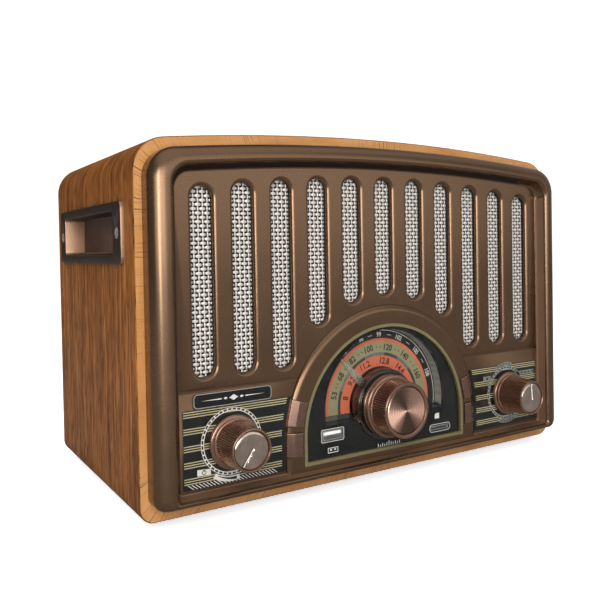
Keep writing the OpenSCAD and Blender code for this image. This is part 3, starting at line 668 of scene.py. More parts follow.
CAD_LOOKS = {
    "walnut_veneer": "cabinet_shell",
    "bronze_paint": "front_bezel grille_panel",
    "black_cloth": "speaker_cloth",
    "fibreboard": "baffle_board",
    "black_plastic": "rear_panel mains_inlet key_switches",
    "raw_pine": "rear_battens",
    "black_steel": "rear_panel_screws aerial_foot left_speaker_frame right_speaker_frame",
    "screw_silver": "handle_screws",
    "zinc_steel": "front_panel_screws speaker_screws control_nuts volume_control "
                  "left_speaker_magnet right_speaker_magnet",
    "gloss_black": "control_panel",
    "clear_cover": "dial_lens",
    "gold_print": "dial_trim",
    "dial_black": "dial_plate",
    "hub_black": "pointer_hub",
    "needle": "dial_pointer",
    "knob_copper": "tuning_knob volume_knob function_knob",
    "spun_copper": "tuning_cap",
    "cap_mirror": "volume_cap function_cap",
    "chrome": "tuning_spindle volume_spindle function_spindle aerial_tube aerial_middle "
              "aerial_tip",
    "cream_plastic": "tuning_capacitor",
    "amber_laminate": "function_switch",
    "plate_black": "left_stripe_plate right_stripe_plate",
    "badge_black": "badge_plate",
    "key_copper": "upper_left_key lower_left_key upper_right_key lower_right_key",
    "socket_steel": "usb_socket card_socket",
    "green_board": "media_board main_board",
    "paper_cone": "left_speaker_cone right_speaker_cone",
    "cup_plastic": "left_handle_cup right_handle_cup",
    "foot_rubber": "rubber_feet",
    "ferrite": "ferrite_rod",
    "copper_winding": "antenna_coils",
    "battery_wrap": "battery_pack",
    "mesh_wire": "grille_mesh",
}
for look, nodes in CAD_LOOKS.items():
    for node_name in nodes.split():
        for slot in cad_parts[node_name].material_slots:
            slot.material = LOOKS[look]


# --- Cabinet: outside with the grain along its section, pale front edge, raw inside
SHELL_WALL = 9
SHELL_SOFT = 0.5
CUP_HOLE_Y = (26.8, 130.7)
CUP_HOLE_Z = (131.8, 157.7)
OUTER_HOLE = 3
INNER_HOLE = 9


def with_side_points(loop_points, heights):
    """Adds points at the given heights on both straight sides of an outline."""
    out = []
    for i, (x0, z0) in enumerate(loop_points):
        out.append((x0, z0))
        x1, z1 = loop_points[(i + 1) % len(loop_points)]
        if abs(x1 - x0) < 0.01 and abs(z1 - z0) > 30:
            out.extend((x0, z) for z in sorted(heights, reverse=z1 < z0))
    return out


def lengths_round(loop_points):
    total = [0.0]
    for i in range(len(loop_points)):
        x0, z0 = loop_points[i]
        x1, z1 = loop_points[(i + 1) % len(loop_points)]
        total.append(total[-1] + math.hypot(x1 - x0, z1 - z0))
    return total


def beside_hole(loop_points, i):
    """Whether side i of an outline is the one with the hole for a finger cup."""
    z0 = loop_points[i][1]
    z1 = loop_points[(i + 1) % len(loop_points)][1]
    low, high = CUP_HOLE_Z
    return min(z0, z1) > low - 0.1 and max(z0, z1) < high + 0.1 and abs(z1 - z0) > 5


def cabinet_skin(stations, loops, outer):
    """Faces between the stations, with their material numbers and grain coordinates."""
    count = len(loops[0])
    around = lengths_round(loops[OUTER_HOLE])
    faces, mats, uv = [], [], []
    for j in range(len(stations)):
        k = (j + 1) % len(stations)
        front = j == len(stations) - 1
        for i in range(count):
            if j in (OUTER_HOLE, INNER_HOLE) and beside_hole(loops[j], i):
                continue
            m = (i + 1) % count
            faces.append((j * count + i, k * count + i, k * count + m, j * count + m))
            mats.append(1 if front else (0 if j < outer - 1 else 2))
            for ring, step in ((j, i), (k, i), (k, i + 1), (j, i + 1)):
                uv.append((around[step], stations[ring][0 if front else 1]))
    return faces, mats, uv


def hole_walls(loop_points):
    """Faces through the wall round both holes for the finger cups."""
    count = len(loop_points)
    faces = []
    for i in range(count):
        if beside_hole(loop_points, i):
            m = (i + 1) % count
            outer = [OUTER_HOLE * count + i, OUTER_HOLE * count + m,
                     (OUTER_HOLE + 1) * count + m, (OUTER_HOLE + 1) * count + i]
            inner = [(INNER_HOLE + 1) * count + i, (INNER_HOLE + 1) * count + m,
                     INNER_HOLE * count + m, INNER_HOLE * count + i]
            for a in range(4):
                b = (a + 1) % 4
                faces.append((outer[a], outer[b], inner[b], inner[a]))
    return faces


def make_cabinet():
    hole_front, hole_back = CUP_HOLE_Y
    outside = [(SHELL_SOFT, 0), (0.15, 0.14), (0, SHELL_SOFT), (0, hole_front), (0, hole_back),
               (0, CAB_D - SHELL_SOFT), (0.15, CAB_D - 0.14), (SHELL_SOFT, CAB_D)]
    stations = outside + [(SHELL_WALL, y) for y in (CAB_D, hole_back, hole_front, 0)]
    loops = [with_side_points(outline_from(inset, inset), CUP_HOLE_Z) for inset, _ in stations]
    verts = [(x, y, z) for (_, y), ring in zip(stations, loops) for x, z in ring]
    faces, mats, uv = cabinet_skin(stations, loops, len(outside))
    walls = hole_walls(loops[OUTER_HOLE])
    uv.extend([(0, 0)] * 4 * len(walls))
    form = (verts, faces + walls, mats + [2] * len(walls))
    obj = piece("cabinet_wood", form, "cabinet", "wood_veneer", "walnut_veneer pale_edge raw_board",
                smooth=40)
    layer = obj.data.uv_layers.new(name="grain")
    layer.data.foreach_set("uv", [number for pair in uv for number in pair])
    weighted(tidied(obj))
    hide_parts("cabinet_shell")


make_cabinet()


# --- Bezel: a ring with a full rounded shoulder. Its sections are [inset, y] points.
BEZEL_TIP = 18.8
BEZEL_DROP = 1.7
BEZEL_LIFT = 3.0
SQUEEZE_IN = 15.5


def bezel_profile():
    """The section of the ring, and the rows of its inner wall."""
    turns = [math.radians(a) for a in range(0, 91, 9)]
    shoulder = [(BEZEL_IN + 8.6 * (1 - math.cos(a)), -7 - 7 * math.sin(a)) for a in turns]
    turns = [math.radians(a) for a in range(0, 78, 7)]
    turn_in = [(13.4 + 2.6 * math.sin(a), -11.4 - 2.6 * math.cos(a)) for a in turns]
    wall = [(17.5, -7.7), (17.8, -7.25), (18.3, -7.0)]
    tip = [(BEZEL_TIP - 0.12, -6.95), (BEZEL_TIP, -6.85), (BEZEL_TIP, -6.56), (15.95, -6.56),
           (15.95, 0)]
    start_points = [(BEZEL_IN, 0), (BEZEL_IN, -3.5)] + shoulder + turn_in
    first = len(start_points) - 1
    return start_points + wall + tip, range(first, first + len(wall))


def bezel_mat(in_wall, x, z):
    """Plain outside; on the inner wall soft at the bottom, and a dark bronze as painted shade along
    the top and left.
    """
    if not in_wall:
        return 0
    if z < 20:
        return 2
    return 1 if (z > 150 and x < 116) or x < -100 else 0


def make_bezel():
    profile, wall_rows = bezel_profile()
    rings = []
    for inset, y in profile:
        share = max(0, min(1, (SQUEEZE_IN - inset) / 10))
        if y > -6.7 and inset > 10:
            share = 0
        outline = front_outline(inset, corner=18, crown=60)
        rings.append(standing(squeezed(outline, BEZEL_DROP * share, BEZEL_LIFT * share), y))
    verts, faces = loft(rings + [rings[0]])
    count = len(rings[0])
    mats = []
    for index in range(len(faces)):
        row, column = divmod(index, count)
        x, _, z = rings[row][column]
        mats.append(bezel_mat(row in wall_rows, x, z))
    obj = piece("bezel_ring", (verts, faces, mats), "cabinet", "bronze_paint",
                "bronze_paint deep_bronze soft_bronze", smooth=35)
    tidied(obj, weld=1e-7)
    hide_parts("front_bezel")


make_bezel()


# --- Grille: flat faces with soft-edged slots, a seam, and the ridge round the dial
FACE_Y = -6.5
FACE_IN = 18.5
FACE_SIDE = HALF_W - FACE_IN
SLOT_PITCH = 23.28
SLOTS_ASIDE = 5
SLOT_R = 8
SLOT_ROUND = 2
SLOT_TOP = 176.8
SLOT_LOW = 68.5
SLOT_SWEEP = 82.4
ARCH_R = 59.3
ARCH_Z = 30.5
SEAM = (63.5, 64.7)
SEAM_SOFT = 0.25
SEAM_DEEP = 0.75
NOTCH_R = 65
NOTCH_LOW = 13.8


def slot_ends(x):
    """The centres of a slot's two round ends."""
    top = SLOT_TOP - x * x / 1900 - SLOT_R
    reach = math.sqrt(max(SLOT_SWEEP ** 2 - x * x, 0))
    return max(SLOT_LOW + SLOT_R, ARCH_Z + reach), top


def stadium(x, r, steps=14):
    low, top = slot_ends(x)
    return arc(x, top, r, 0, 180, steps) + arc(x, low, r, 180, 360, steps)


def notch_angle(z):
    return math.degrees(math.asin((z - ARCH_Z) / NOTCH_R))


def face_loops():
    around = front_outline(FACE_IN)
    low, high = SEAM[0] - SEAM_SOFT, SEAM[1] + SEAM_SOFT
    up_angle, low_angle = notch_angle(high), notch_angle(low)
    upper = ([(FACE_SIDE, high)] + [p for p in around if p[1] > high] + [(-FACE_SIDE, high)]
             + list(reversed(arc(0, ARCH_Z, NOTCH_R, up_angle, 180 - up_angle, 40))))
    right = [p for p in around if p[1] < low and p[0] >= 0]
    left = [p for p in around if p[1] < low and p[0] < 0]
    lower = (left + right + [(FACE_SIDE, low)] + arc(0, ARCH_Z, NOTCH_R, low_angle, 0, 10)
             + [(NOTCH_R, NOTCH_LOW), (-NOTCH_R, NOTCH_LOW)]
             + arc(0, ARCH_Z, NOTCH_R, 180, 180 - low_angle, 10) + [(-FACE_SIDE, low)])
    return upper, lower


def slot_xs():
    return [i * SLOT_PITCH for i in range(-SLOTS_ASIDE, SLOTS_ASIDE + 1)]


def slot_collar(x):
    """The rounded rim of one slot, and the wall behind it down to the mesh, which is painted dark
    as shade.
    """
    turns = [math.radians(a) for a in range(0, 91, 15)]
    rim = [(SLOT_R - SLOT_ROUND * math.sin(a), FACE_Y + SLOT_ROUND * (1 - math.cos(a)))
           for a in turns]
    wall = [rim[-1], (SLOT_R - SLOT_ROUND, -2.75)]
    return [loft([standing(stadium(x, r), y) for r, y in profile]) for profile in (rim, wall)]


def seam_strip(x0, x1):
    soft = [(SEAM[1] + SEAM_SOFT, FACE_Y), (SEAM[1] + 0.07, FACE_Y + 0.07),
            (SEAM[1], FACE_Y + SEAM_SOFT), (SEAM[1], FACE_Y + SEAM_DEEP)]
    section = soft + [(SEAM[0], FACE_Y + SEAM_DEEP), (SEAM[0], FACE_Y + SEAM_SOFT),
                      (SEAM[0] - 0.07, FACE_Y + 0.07), (SEAM[0] - SEAM_SOFT, FACE_Y)]
    return loft([[(x, y, z) for z, y in section] for x in (x0, x1)], closed=False)


def make_face():
    shape = Shape()
    upper, lower = face_loops()
    shape.add(filled([upper] + [stadium(x, SLOT_R) for x in slot_xs()], FACE_Y))
    shape.add(filled([lower], FACE_Y))
    for x in slot_xs():
        rim, wall = slot_collar(x)
        shape.add(rim)
        # The slot walls take the dark bronze: painted shade.
        shape.add(wall, mat=1)
    for side in (-1, 1):
        shape.add(seam_strip(side * 59, side * FACE_SIDE))
    obj = piece("grille_face", shape, "cabinet", "bronze_paint", "bronze_paint deep_bronze",
                smooth=50)
    weighted(tidied(obj, weld=1e-6, front=True))
    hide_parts("grille_panel")


make_face()


# --- Ridge: stations along the arch are (centre z, direction); a profile point is (radius, y)
RIDGE_R = 70.5
RIDGE_Y = -8.6
RIDGE_FOOT = -3.0
CREST_R = 66.6
KEY_IN = 60.65
KEY_ANGLES = (6.58, 19.22)
KEY_LOW = 21.55
KEY_HIGH = 34.75
ARCH_LOW = 11.6
SILL_TOP = 15.4


def station(side, degrees, z=None):
    """A place on the arch, or on its upright foot at a height, on the left or right."""
    if z is not None:
        return (z, math.radians(0 if side > 0 else 180))
    return (ARCH_Z, math.radians(degrees if side > 0 else 180 - degrees))


def sweep(profile, stations):
    return [[(r * math.cos(a), y, cz + r * math.sin(a)) for r, y in profile] for cz, a in stations]


def inner_edge():
    return [(ARCH_R, RIDGE_FOOT), (ARCH_R, RIDGE_Y + 0.3), (ARCH_R + 0.09, RIDGE_Y + 0.09),
            (ARCH_R + 0.3, RIDGE_Y)]


def ridge_profile():
    turns = [math.radians(a) for a in range(0, 91, 10)]
    crest = [(CREST_R + 3.9 * math.sin(a), -6.0 - 2.6 * math.cos(a)) for a in turns]
    return inner_edge() + crest + [(RIDGE_R, RIDGE_FOOT)]


def key_strip():
    return inner_edge() + [(KEY_IN - 0.3, RIDGE_Y), (KEY_IN, RIDGE_Y + 0.3), (KEY_IN, RIDGE_FOOT)]


def make_ridge():
    shape = Shape()
    low_end, high_end = KEY_ANGLES
    top = [station(1, high_end + (180 - 2 * high_end) * i / 96) for i in range(97)]
    shape.add(loft(sweep(ridge_profile(), top), cap=True))
    key_top = math.degrees(math.asin((KEY_HIGH - ARCH_Z) / ARCH_R))
    for side in (-1, 1):
        foot = [station(side, 0, ARCH_LOW), station(side, 0, KEY_LOW)]
        low_key = [station(side, 0, KEY_LOW), station(side, 0, ARCH_Z), station(side, key_top)]
        shoulder = [station(side, key_top), station(side, low_end)]
        high_key = [station(side, low_end + (high_end - low_end) * i / 8) for i in range(9)]
        for profile, stations in ((ridge_profile(), foot), (key_strip(), low_key),
                                  (ridge_profile(), shoulder), (key_strip(), high_key)):
            shape.add(loft(sweep(profile, stations), cap=True))
    section = [(SILL_TOP, RIDGE_FOOT), (SILL_TOP, RIDGE_Y + 0.25),
               (SILL_TOP - 0.08, RIDGE_Y + 0.08), (SILL_TOP - 0.25, RIDGE_Y),
               (ARCH_LOW, RIDGE_Y), (ARCH_LOW, RIDGE_FOOT)]
    sill = [[(x, y, z) for z, y in section] for x in (-ARCH_R, ARCH_R)]
    shape.add(loft(sill, cap=True))
    obj = piece("dial_ridge", shape, "cabinet", "bronze_paint", "bronze_paint", smooth=40)
    weighted(tidied(obj))
    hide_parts("grille_panel")


make_ridge()


# --- Woven wire behind the slots: flat wires over and under each other
WARP_PITCH = 2.6
WEFT_PITCH = 2.2
WIRE_THICK = 0.36
WARP_WIDE = 0.85
WEFT_WIDE = 1.32
WAVE = 0.34
SWELL = 0.30
WIRE_STEPS = 4
WIRE_REACH = SLOT_R - SLOT_ROUND + 0.8


def wire_ring(wide):
    half = WIRE_THICK / 2
    return [(-wide / 2, 0), (-wide / 4, -half), (wide / 4, -half), (wide / 2, 0),
            (wide / 4, half), (-wide / 4, half)]


def multiples(low, high, step):
    return range(math.floor(low / step), math.ceil(high / step) + 1)


def half_chord(away):
    return math.sqrt(max(WIRE_REACH ** 2 - away * away, 0))


def weft_wire(row, x0, x1):
    """One wire of a row, from x0 to x1, a little wider where it lies in front."""
    rings = []
    step = WARP_PITCH / WIRE_STEPS
    for i in multiples(x0, x1, step):
        cx = i * step
        phase = math.cos(math.pi * (cx / WARP_PITCH + row))
        rings.append([(cx, WEAVE_Y + WAVE * phase + t, row * WEFT_PITCH + w * (1 - SWELL * phase))
                      for w, t in wire_ring(WEFT_WIDE)])
    return loft(rings, cap=True)


def warp_wire(column, z0, z1):
    rings = []
    step = WEFT_PITCH / WIRE_STEPS
    for i in multiples(z0, z1, step):
        z = i * step
        lift = -WAVE * math.cos(math.pi * (z / WEFT_PITCH + column))
        rings.append([(column * WARP_PITCH + w, WEAVE_Y + lift + t, z)
                      for w, t in wire_ring(WARP_WIDE)])
    return loft(rings, cap=True)


def weave_patch(x):
    """The part of the weave that shows in one slot, on a grid shared by all slots."""
    shape = Shape()
    low, top = slot_ends(x)
    for row in multiples(low - WIRE_REACH, top + WIRE_REACH, WEFT_PITCH):
        z = row * WEFT_PITCH
        half = half_chord(max(low - z, z - top, 0))
        if half > 0:
            shape.add(weft_wire(row, x - half, x + half))
    for column in multiples(x - WIRE_REACH, x + WIRE_REACH, WARP_PITCH):
        half = half_chord(column * WARP_PITCH - x)
        if half > 0:
            shape.add(warp_wire(column, low - half, top + half))
    return shape


for number, slot_x in enumerate(slot_xs()):
    patch = piece("wire_mesh_%02d" % (number + 1), weave_patch(slot_x), "cabinet", "mesh_wire",
                  "mesh_wire", smooth=70)
    tidied(patch)
    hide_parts("grille_mesh")


# --- Knobs: turned pieces with a band of fine ribs. Their sections are [radius, y] points.
TUNING_Z = 41.3
KNOB_X = 101.7
KNOB_Z = 36.1
SPINDLE_R = 3.06
RIB_STEPS = 6
RIB_SHAPE = (0, 0, 1, 1)


def knob_rings(x, z, profile, columns, lift=0.0):
    """Circles of points; a lift lowers every first pair of points into the gap of two ribs."""
    rings = []
    for r, y in profile:
        ring = []
        for i in range(columns):
            a = 2 * math.pi * i / columns
            reach = r - lift * (1 - RIB_SHAPE[i % 4])
            ring.append((x + reach * math.cos(a), y, z + reach * math.sin(a)))
        rings.append(ring)
    return rings


def along(start_point, end_point, steps):
    (r0, y0), (r1, y1) = start_point, end_point
    return [(r0 + (r1 - r0) * i / steps, y0 + (y1 - y0) * i / steps) for i in range(steps + 1)]


def ribbed(name, centre, sections, count, lift, body, node, looks):
    """A lathe piece whose middle section is ribbed; looks are for the ribs, for the gaps between
    them, and for the rest. On the knobs the gaps take a dark copper as painted shade."""
    base, ribs, front = sections
    columns = 4 * count
    x, z = centre
    rings = (knob_rings(x, z, base, columns) + knob_rings(x, z, ribs, columns, lift)
             + knob_rings(x, z, front, columns))
    verts, faces = loft(rings + [rings[0]])
    rows = range(len(base), len(base) + len(ribs) - 1)
    mats = []
    for index in range(len(faces)):
        row, column = divmod(index, columns)
        mats.append((1 if column % 4 == 0 else 0) if row in rows else 2)
    obj = piece(name, (verts, faces, mats), body, "copper_plate", looks, smooth=32)
    tidied(obj, weld=1e-7)
    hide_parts(node)


def make_tuning_knob():
    base = [(SPINDLE_R, -6.7), (18.1, -6.7), (18.4, -6.82), (18.5, -7.1), (18.5, -8.6),
            (18.2, -8.8), (18.2, -9.2), (18.5, -9.4), (18.5, -11.2), (18.38, -11.6),
            (18.0, -11.85), (17.6, -11.95), (17.2, -12.0), (17.1, -12.3), (17.1, -12.9)]
    ribs = along((16.85, -13.1), (15.85, -23.5), RIB_STEPS)
    front = [(16.0, -23.7), (16.12, -23.9), (16.15, -24.3), (16.0, -24.75), (15.6, -25.0),
             (14.9, -25.0), (14.3, -24.93), (13.95, -24.6), (13.8, -24.2), (13.8, -23.0),
             (SPINDLE_R, -23.0)]
    ribbed("tuning_knob_shell", (0, TUNING_Z), (base, ribs, front), 72, 0.55, "tuning",
           "tuning_knob", "knob_copper deep_copper rim_copper")


def make_side_knob(side, body):
    base = [(SPINDLE_R, -11.5), (9.6, -11.5), (9.6, -7.5), (13.9, -7.5), (14.12, -7.58),
            (14.2, -7.8), (14.15, -9.0), (14.05, -9.35), (13.8, -9.6), (13.0, -9.8),
            (12.2, -9.85), (12.0, -9.95), (12.0, -10.2), (12.2, -10.35), (12.5, -10.4),
            (12.6, -10.55), (12.5, -10.8), (12.2, -10.95)]
    ribs = along((12.0, -11.0), (10.75, -26.8), RIB_STEPS)
    front = [(10.85, -27.0), (10.95, -27.15), (10.95, -27.5), (10.8, -27.85), (10.55, -28.0),
             (10.1, -28.0), (9.88, -27.8), (9.8, -27.4), (9.8, -26.4), (SPINDLE_R, -26.4)]
    ribbed(body + "_knob_shell", (side * KNOB_X, KNOB_Z), (base, ribs, front), 64, 0.5, body,
           body + "_knob", "knob_copper deep_copper rim_copper")


def make_hub():
    base = [(SPINDLE_R, -6.4), (19.6, -6.4), (20.3, -6.36), (20.7, -6.2), (20.95, -5.9)]
    ribs = along((21.2, -5.6), (21.3, 0.1), 2)
    front = [(21.1, 0.3), (21.0, 0.6), (SPINDLE_R, 0.6)]
    ribbed("pointer_hub_ring", (0, TUNING_Z), (base, ribs, front), 72, 0.2, "tuning",
           "pointer_hub", "hub_black hub_black hub_black")


# --- Caps of the side knobs: a domed mirror with a groove that points from its middle to its rim
CAP_R = 9.45
CAP_BACK_R = 9.7
CAP_BACK_Y = -26.45
GROOVE_Y = -27.0
GROOVE_HALF = 0.42


def dome_y(r):
    """The front of a side cap: gently domed, with a soft edge."""
    edge = max(r - 9.0, 0)
    return -27.9 + 0.4 * (r / 9.3) ** 2 + edge * edge * 1.6


def on_dome(points):
    return [(u, dome_y(math.hypot(u, v)), v) for u, v in points]


def make_side_cap(side, angle, body):
    half = GROOVE_HALF
    groove = ([(-1.0, -half)] + [(u, -half) for u in (2, 4, 6, 8, 9.0)]
              + [(u, half) for u in (9.0, 8, 6, 4, 2, -1.0)]
              + [(-1.3, half * 0.6), (-1.3, -half * 0.6)])
    edge = circle(0, 0, CAP_R, 96)
    inner = [circle(0, 0, r, 48) for r in (1.6, 3.2, 4.8, 6.4, 7.8, 9.0)]
    flat, faces = filled([edge, groove], 0, extra=inner)
    shape = Shape()
    shape.add((on_dome([(u, v) for u, _, v in flat]), faces))
    back = [(u * CAP_BACK_R / CAP_R, v * CAP_BACK_R / CAP_R) for u, v in edge]
    rim = [standing(edge, dome_y(CAP_R)), standing(back, dome_y(CAP_R) + 0.25),
           standing(back, CAP_BACK_Y)]
    shape.add(loft(rim))
    # The groove's walls are painted white as a highlight and its floor black as shade.
    shape.add(loft([on_dome(groove), standing(groove, GROOVE_Y)]), mat=1)
    shape.add(filled([groove], GROOVE_Y), mat=2)
    turn = math.radians(angle)
    cos_a, sin_a = math.cos(turn), math.sin(turn)
    shape.verts = [(side * KNOB_X + u * cos_a - v * sin_a, y, KNOB_Z + u * sin_a + v * cos_a)
                   for u, y, v in shape.verts]
    obj = piece(body + "_cap_face", shape, body, "dark_mirror", "cap_mirror white_ink black_ink",
                smooth=35)
    tidied(obj, weld=1e-6, front=True)
    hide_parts(body + "_cap")


make_tuning_knob()
make_side_knob(-1, "volume")
make_side_knob(1, "function")
make_side_cap(-1, 235, "volume")
make_side_cap(1, 92, "function")
make_hub()


# --- Printing: prisms of [x, z] outlines, each layer a hair in front of the one under it
INK = 0.03
SURFACES = {
    "dial": (1.4, "printed_dial"),
    "lens": (-7.6, "gloss_black"),
    "plate": (-7.0, "striped_plate"),
    "badge": (-7.5, "striped_plate"),
}


def print_on(where, name, polygons, look, layer=0):
    y, slot_name = SURFACES[where]
    y -= layer * INK
    shape = Shape()
    for poly in polygons:
        shape.add(loft([standing(poly, y), standing(poly, y - INK)], cap=True))
    tidied(piece(name, shape, "cabinet", slot_name, look, smooth=20))


def print_frame(outer, inner):
    """A closed line as one polygon: the outer loop, then back round the inner one."""
    return outer + [outer[0], inner[0]] + list(reversed(inner))


def dial_band(r0, r1, low, steps=72):
    """Part of a ring round the dial, standing on a level line."""
    a0 = math.degrees(math.asin((TUNING_Z - low) / r0))
    a1 = math.degrees(math.asin((TUNING_Z - low) / r1))
    return arc(0, TUNING_Z, r1, -a1, 180 + a1, steps) + arc(0, TUNING_Z, r0, 180 + a0, -a0, steps)


def dial_ring(r0, r1, a0, a1, steps=24):
    return band(0, TUNING_Z, r0, r1, a0, a1, steps)


def number_mesh(text):
    """A number as points and faces, one millimetre tall and centred on the origin."""
    curve = bpy.data.curves.new("number", "FONT")
    curve.body = text
    curve.resolution_u = 3
    curve.extrude = INK / 2
    curve.offset = 0.022
    obj = bpy.data.objects.new("number", curve)
    bpy.context.scene.collection.objects.link(obj)
    mesh = obj.to_mesh()
    points = [tuple(v.co) for v in mesh.vertices]
    faces = [tuple(f.vertices) for f in mesh.polygons]
    obj.to_mesh_clear()
    bpy.data.objects.remove(obj)
    bpy.data.curves.remove(curve)
    xs = [p[0] for p in points]
    ys = [p[1] for p in points]
    tall = max(ys) - min(ys)
    half = (min(xs) + max(xs)) / 2
    return [((px - half) / tall, (py - min(ys)) / tall - 0.5, pz) for px, py, pz in points], faces


def numbers_round(name, entries, r, tall, layer, look):
    """Numbers standing round the dial with their tops outwards; entries are (text, angle)."""
    y, slot_name = SURFACES["dial"]
    y -= layer * INK
    shape = Shape()
    for text, angle in entries:
        points, faces = number_mesh(text)
        a = math.radians(angle)
        verts = []
        for u, v, w in points:
            reach = r + v * tall
            slide = u * tall * 0.9
            verts.append((reach * math.cos(a) + slide * math.sin(a), y - INK / 2 - w,
                          TUNING_Z + reach * math.sin(a) - slide * math.cos(a)))
        shape.add((verts, faces))
    piece(name, shape, "cabinet", slot_name, look, smooth=20)


# Numbers on the dial with their angles, and the angles where the grey steps between them meet
LONG_WAVE = [("53", 166), ("68", 146), ("82", 125), ("100", 102), ("120", 77), ("140", 52),
             ("160", 25)]
SHORT_WAVE = [("8", 167), ("9.2", 143), ("11.2", 113), ("12.8", 79), ("14.4", 48), ("16", 18)]
HIGH_BAND = [("88", 150), ("92", 128), ("96", 108), ("99", 89), ("102", 67), ("105", 44),
             ("108", 20)]
STEP_ENDS = [187, 160, 132, 110, 81, 60, 38, 15, -7]
SCALE_LOW = 38.0
BOX_LOW = 35.2
BOX_TOP = 37.6
LONG_R = 33.6
SHORT_R = 25.2
HIGH_R = 41.2


def between(entries, share):
    """Angles at a share of the way from each entry to the next."""
    return [a0 + (a1 - a0) * share for (_, a0), (_, a1) in zip(entries, entries[1:])]


def make_dial_print():
    coral = [dial_band(36.9, 38.9, SCALE_LOW), dial_band(21.9, 28.4, SCALE_LOW)]
    print_on("dial", "dial_coral", coral, "coral_ink")
    print_on("dial", "dial_khaki", [dial_band(30.3, 36.9, SCALE_LOW)], "khaki_ink")
    steps = [dial_ring(28.4, 30.3, a1, a0) for a0, a1 in zip(STEP_ENDS, STEP_ENDS[1:])]
    print_on("dial", "dial_dark_steps", steps[::2], "dark_grey_ink")
    print_on("dial", "dial_light_steps", steps[1::2], "grey_ink")
    for name, x0, x1, look in (("dial_base_boxes", 30.4, 38.7, "dull_ink"),
                               ("dial_inner_boxes", 22.2, 30.0, "dark_grey_ink")):
        boxes = [rect(side * x0, side * x1, BOX_LOW, BOX_TOP) for side in (-1, 1)]
        print_on("dial", name, boxes, look)
    # Painted highlight: a thin white ring where the edge of the dial plate catches light.
    print_on("dial", "dial_edge_highlight", [dial_band(43.5, 43.9, 35.3)], "white_ink")
    dots = []
    for pair in zip(between(LONG_WAVE, 0.40), between(LONG_WAVE, 0.60)):
        for a in map(math.radians, pair):
            dots.append(circle(LONG_R * math.cos(a), TUNING_Z + LONG_R * math.sin(a), 0.42))
    print_on("dial", "dial_dots", dots, "black_ink", 1)
    dashes = [dial_ring(40.9, 41.25, a - 2.2, a + 2.2, 4) for a in between(HIGH_BAND, 0.5)]
    print_on("dial", "dial_dashes", dashes, "white_ink")
    numbers_round("dial_long_wave_numbers", LONG_WAVE, LONG_R, 3.9, 1, "black_ink")
    numbers_round("dial_short_wave_numbers", SHORT_WAVE, SHORT_R, 3.9, 1, "black_ink")
    numbers_round("dial_high_band_numbers", HIGH_BAND, HIGH_R, 3.0, 0, "white_ink")


def make_well_painted_light():
    """A light grey band round the wall of the well: painted light where the wall is lit."""
    rings = []
    for r, y in ((44.95, -4.55), (44.95, 1.3), (44.7, 1.3), (44.7, -4.55)):
        a = math.degrees(math.asin((TUNING_Z - 35.4) / r))
        rings.append(standing(arc(0, TUNING_Z, r, -a, 180 + a, 96), y))
    obj = piece("well_lining", loft(rings + [rings[0]], closed=False), "cabinet", "gloss_black",
                "well_lining", smooth=40)
    tidied(obj, weld=1e-7, fill=True)


make_dial_print()
make_well_painted_light()


# --- Striped plates: five groups of three lines, and a hatch along the bottom of the left one
STRIPE_GROUPS = [53.0, 44.6, 35.9, 27.7, 19.6]
STRIPE_STEP = 1.25
STRIPE_HALF = 0.25
STRIPE_OUT = 129.2
PLATE_LOW = 15.3
PLATE_IN = 73.0
HATCH_IN = 76.5
HATCH_STEP = 2.0
HATCH_TALL = 2.4
HATCH_LEAN = 3.0


def plate_edge(z):
    """How far from the middle the printed part of a plate begins, next to the ridge."""
    return math.sqrt(PLATE_IN ** 2 - max(z - ARCH_Z, 0) ** 2)


def make_stripes(name, side):
    lines = []
    for z in [middle + k * STRIPE_STEP for middle in STRIPE_GROUPS for k in (-1, 0, 1)]:
        near, far = side * plate_edge(z), side * STRIPE_OUT
        lines.append(rect(near, far, z - STRIPE_HALF, z + STRIPE_HALF))
    print_on("plate", name, lines, "stripe_gold")


def make_hatch():
    hatch = []
    x = HATCH_IN
    while x < STRIPE_OUT - HATCH_LEAN:
        hatch.append([(-x, PLATE_LOW), (-x + 0.6, PLATE_LOW), (-x - 2.4, PLATE_LOW + HATCH_TALL),
                      (-x - HATCH_LEAN, PLATE_LOW + HATCH_TALL)])
        x += HATCH_STEP
    print_on("plate", "left_plate_hatch", hatch, "silver_ink")


# --- Marks round the side knobs: a ring like a dashed track, and boxes with plain signs
RING_X = {"volume": -KNOB_X - 0.9, "function": KNOB_X - 0.9}
RING_Z = KNOB_Z + 0.3
RING_R = (15.7, 17.4)


def ring_arc(knob, r0, r1, a0, a1, steps):
    return band(RING_X[knob], RING_Z, r0, r1, a0, a1, steps)


def make_knob_ring(knob, look):
    r0, r1 = RING_R
    halves = [ring_arc(knob, r0, r1, 0, 180, 60), ring_arc(knob, r0, r1, 180, 360, 60)]
    print_on("plate", knob + "_ring", halves, look, 1)
    dashes = [ring_arc(knob, r1 - 1.25, r1 - 0.3, a, a + 6.4, 3) for a in range(0, 360, 9)]
    print_on("plate", knob + "_dashes", dashes, "black_ink", 2)


def level_wedge(x, r0, r1, a0, a1, steps=16):
    """A mark that grows along an arc, the usual sign for louder."""
    inner = arc(x, RING_Z, r0, a0, a1, steps)
    outer = []
    for i in range(steps + 1):
        a = math.radians(a0 + (a1 - a0) * i / steps)
        r = r0 + (r1 - r0) * (0.15 + 0.85 * i / steps)
        outer.append((x + r * math.cos(a), RING_Z + r * math.sin(a)))
    return inner + list(reversed(outer))


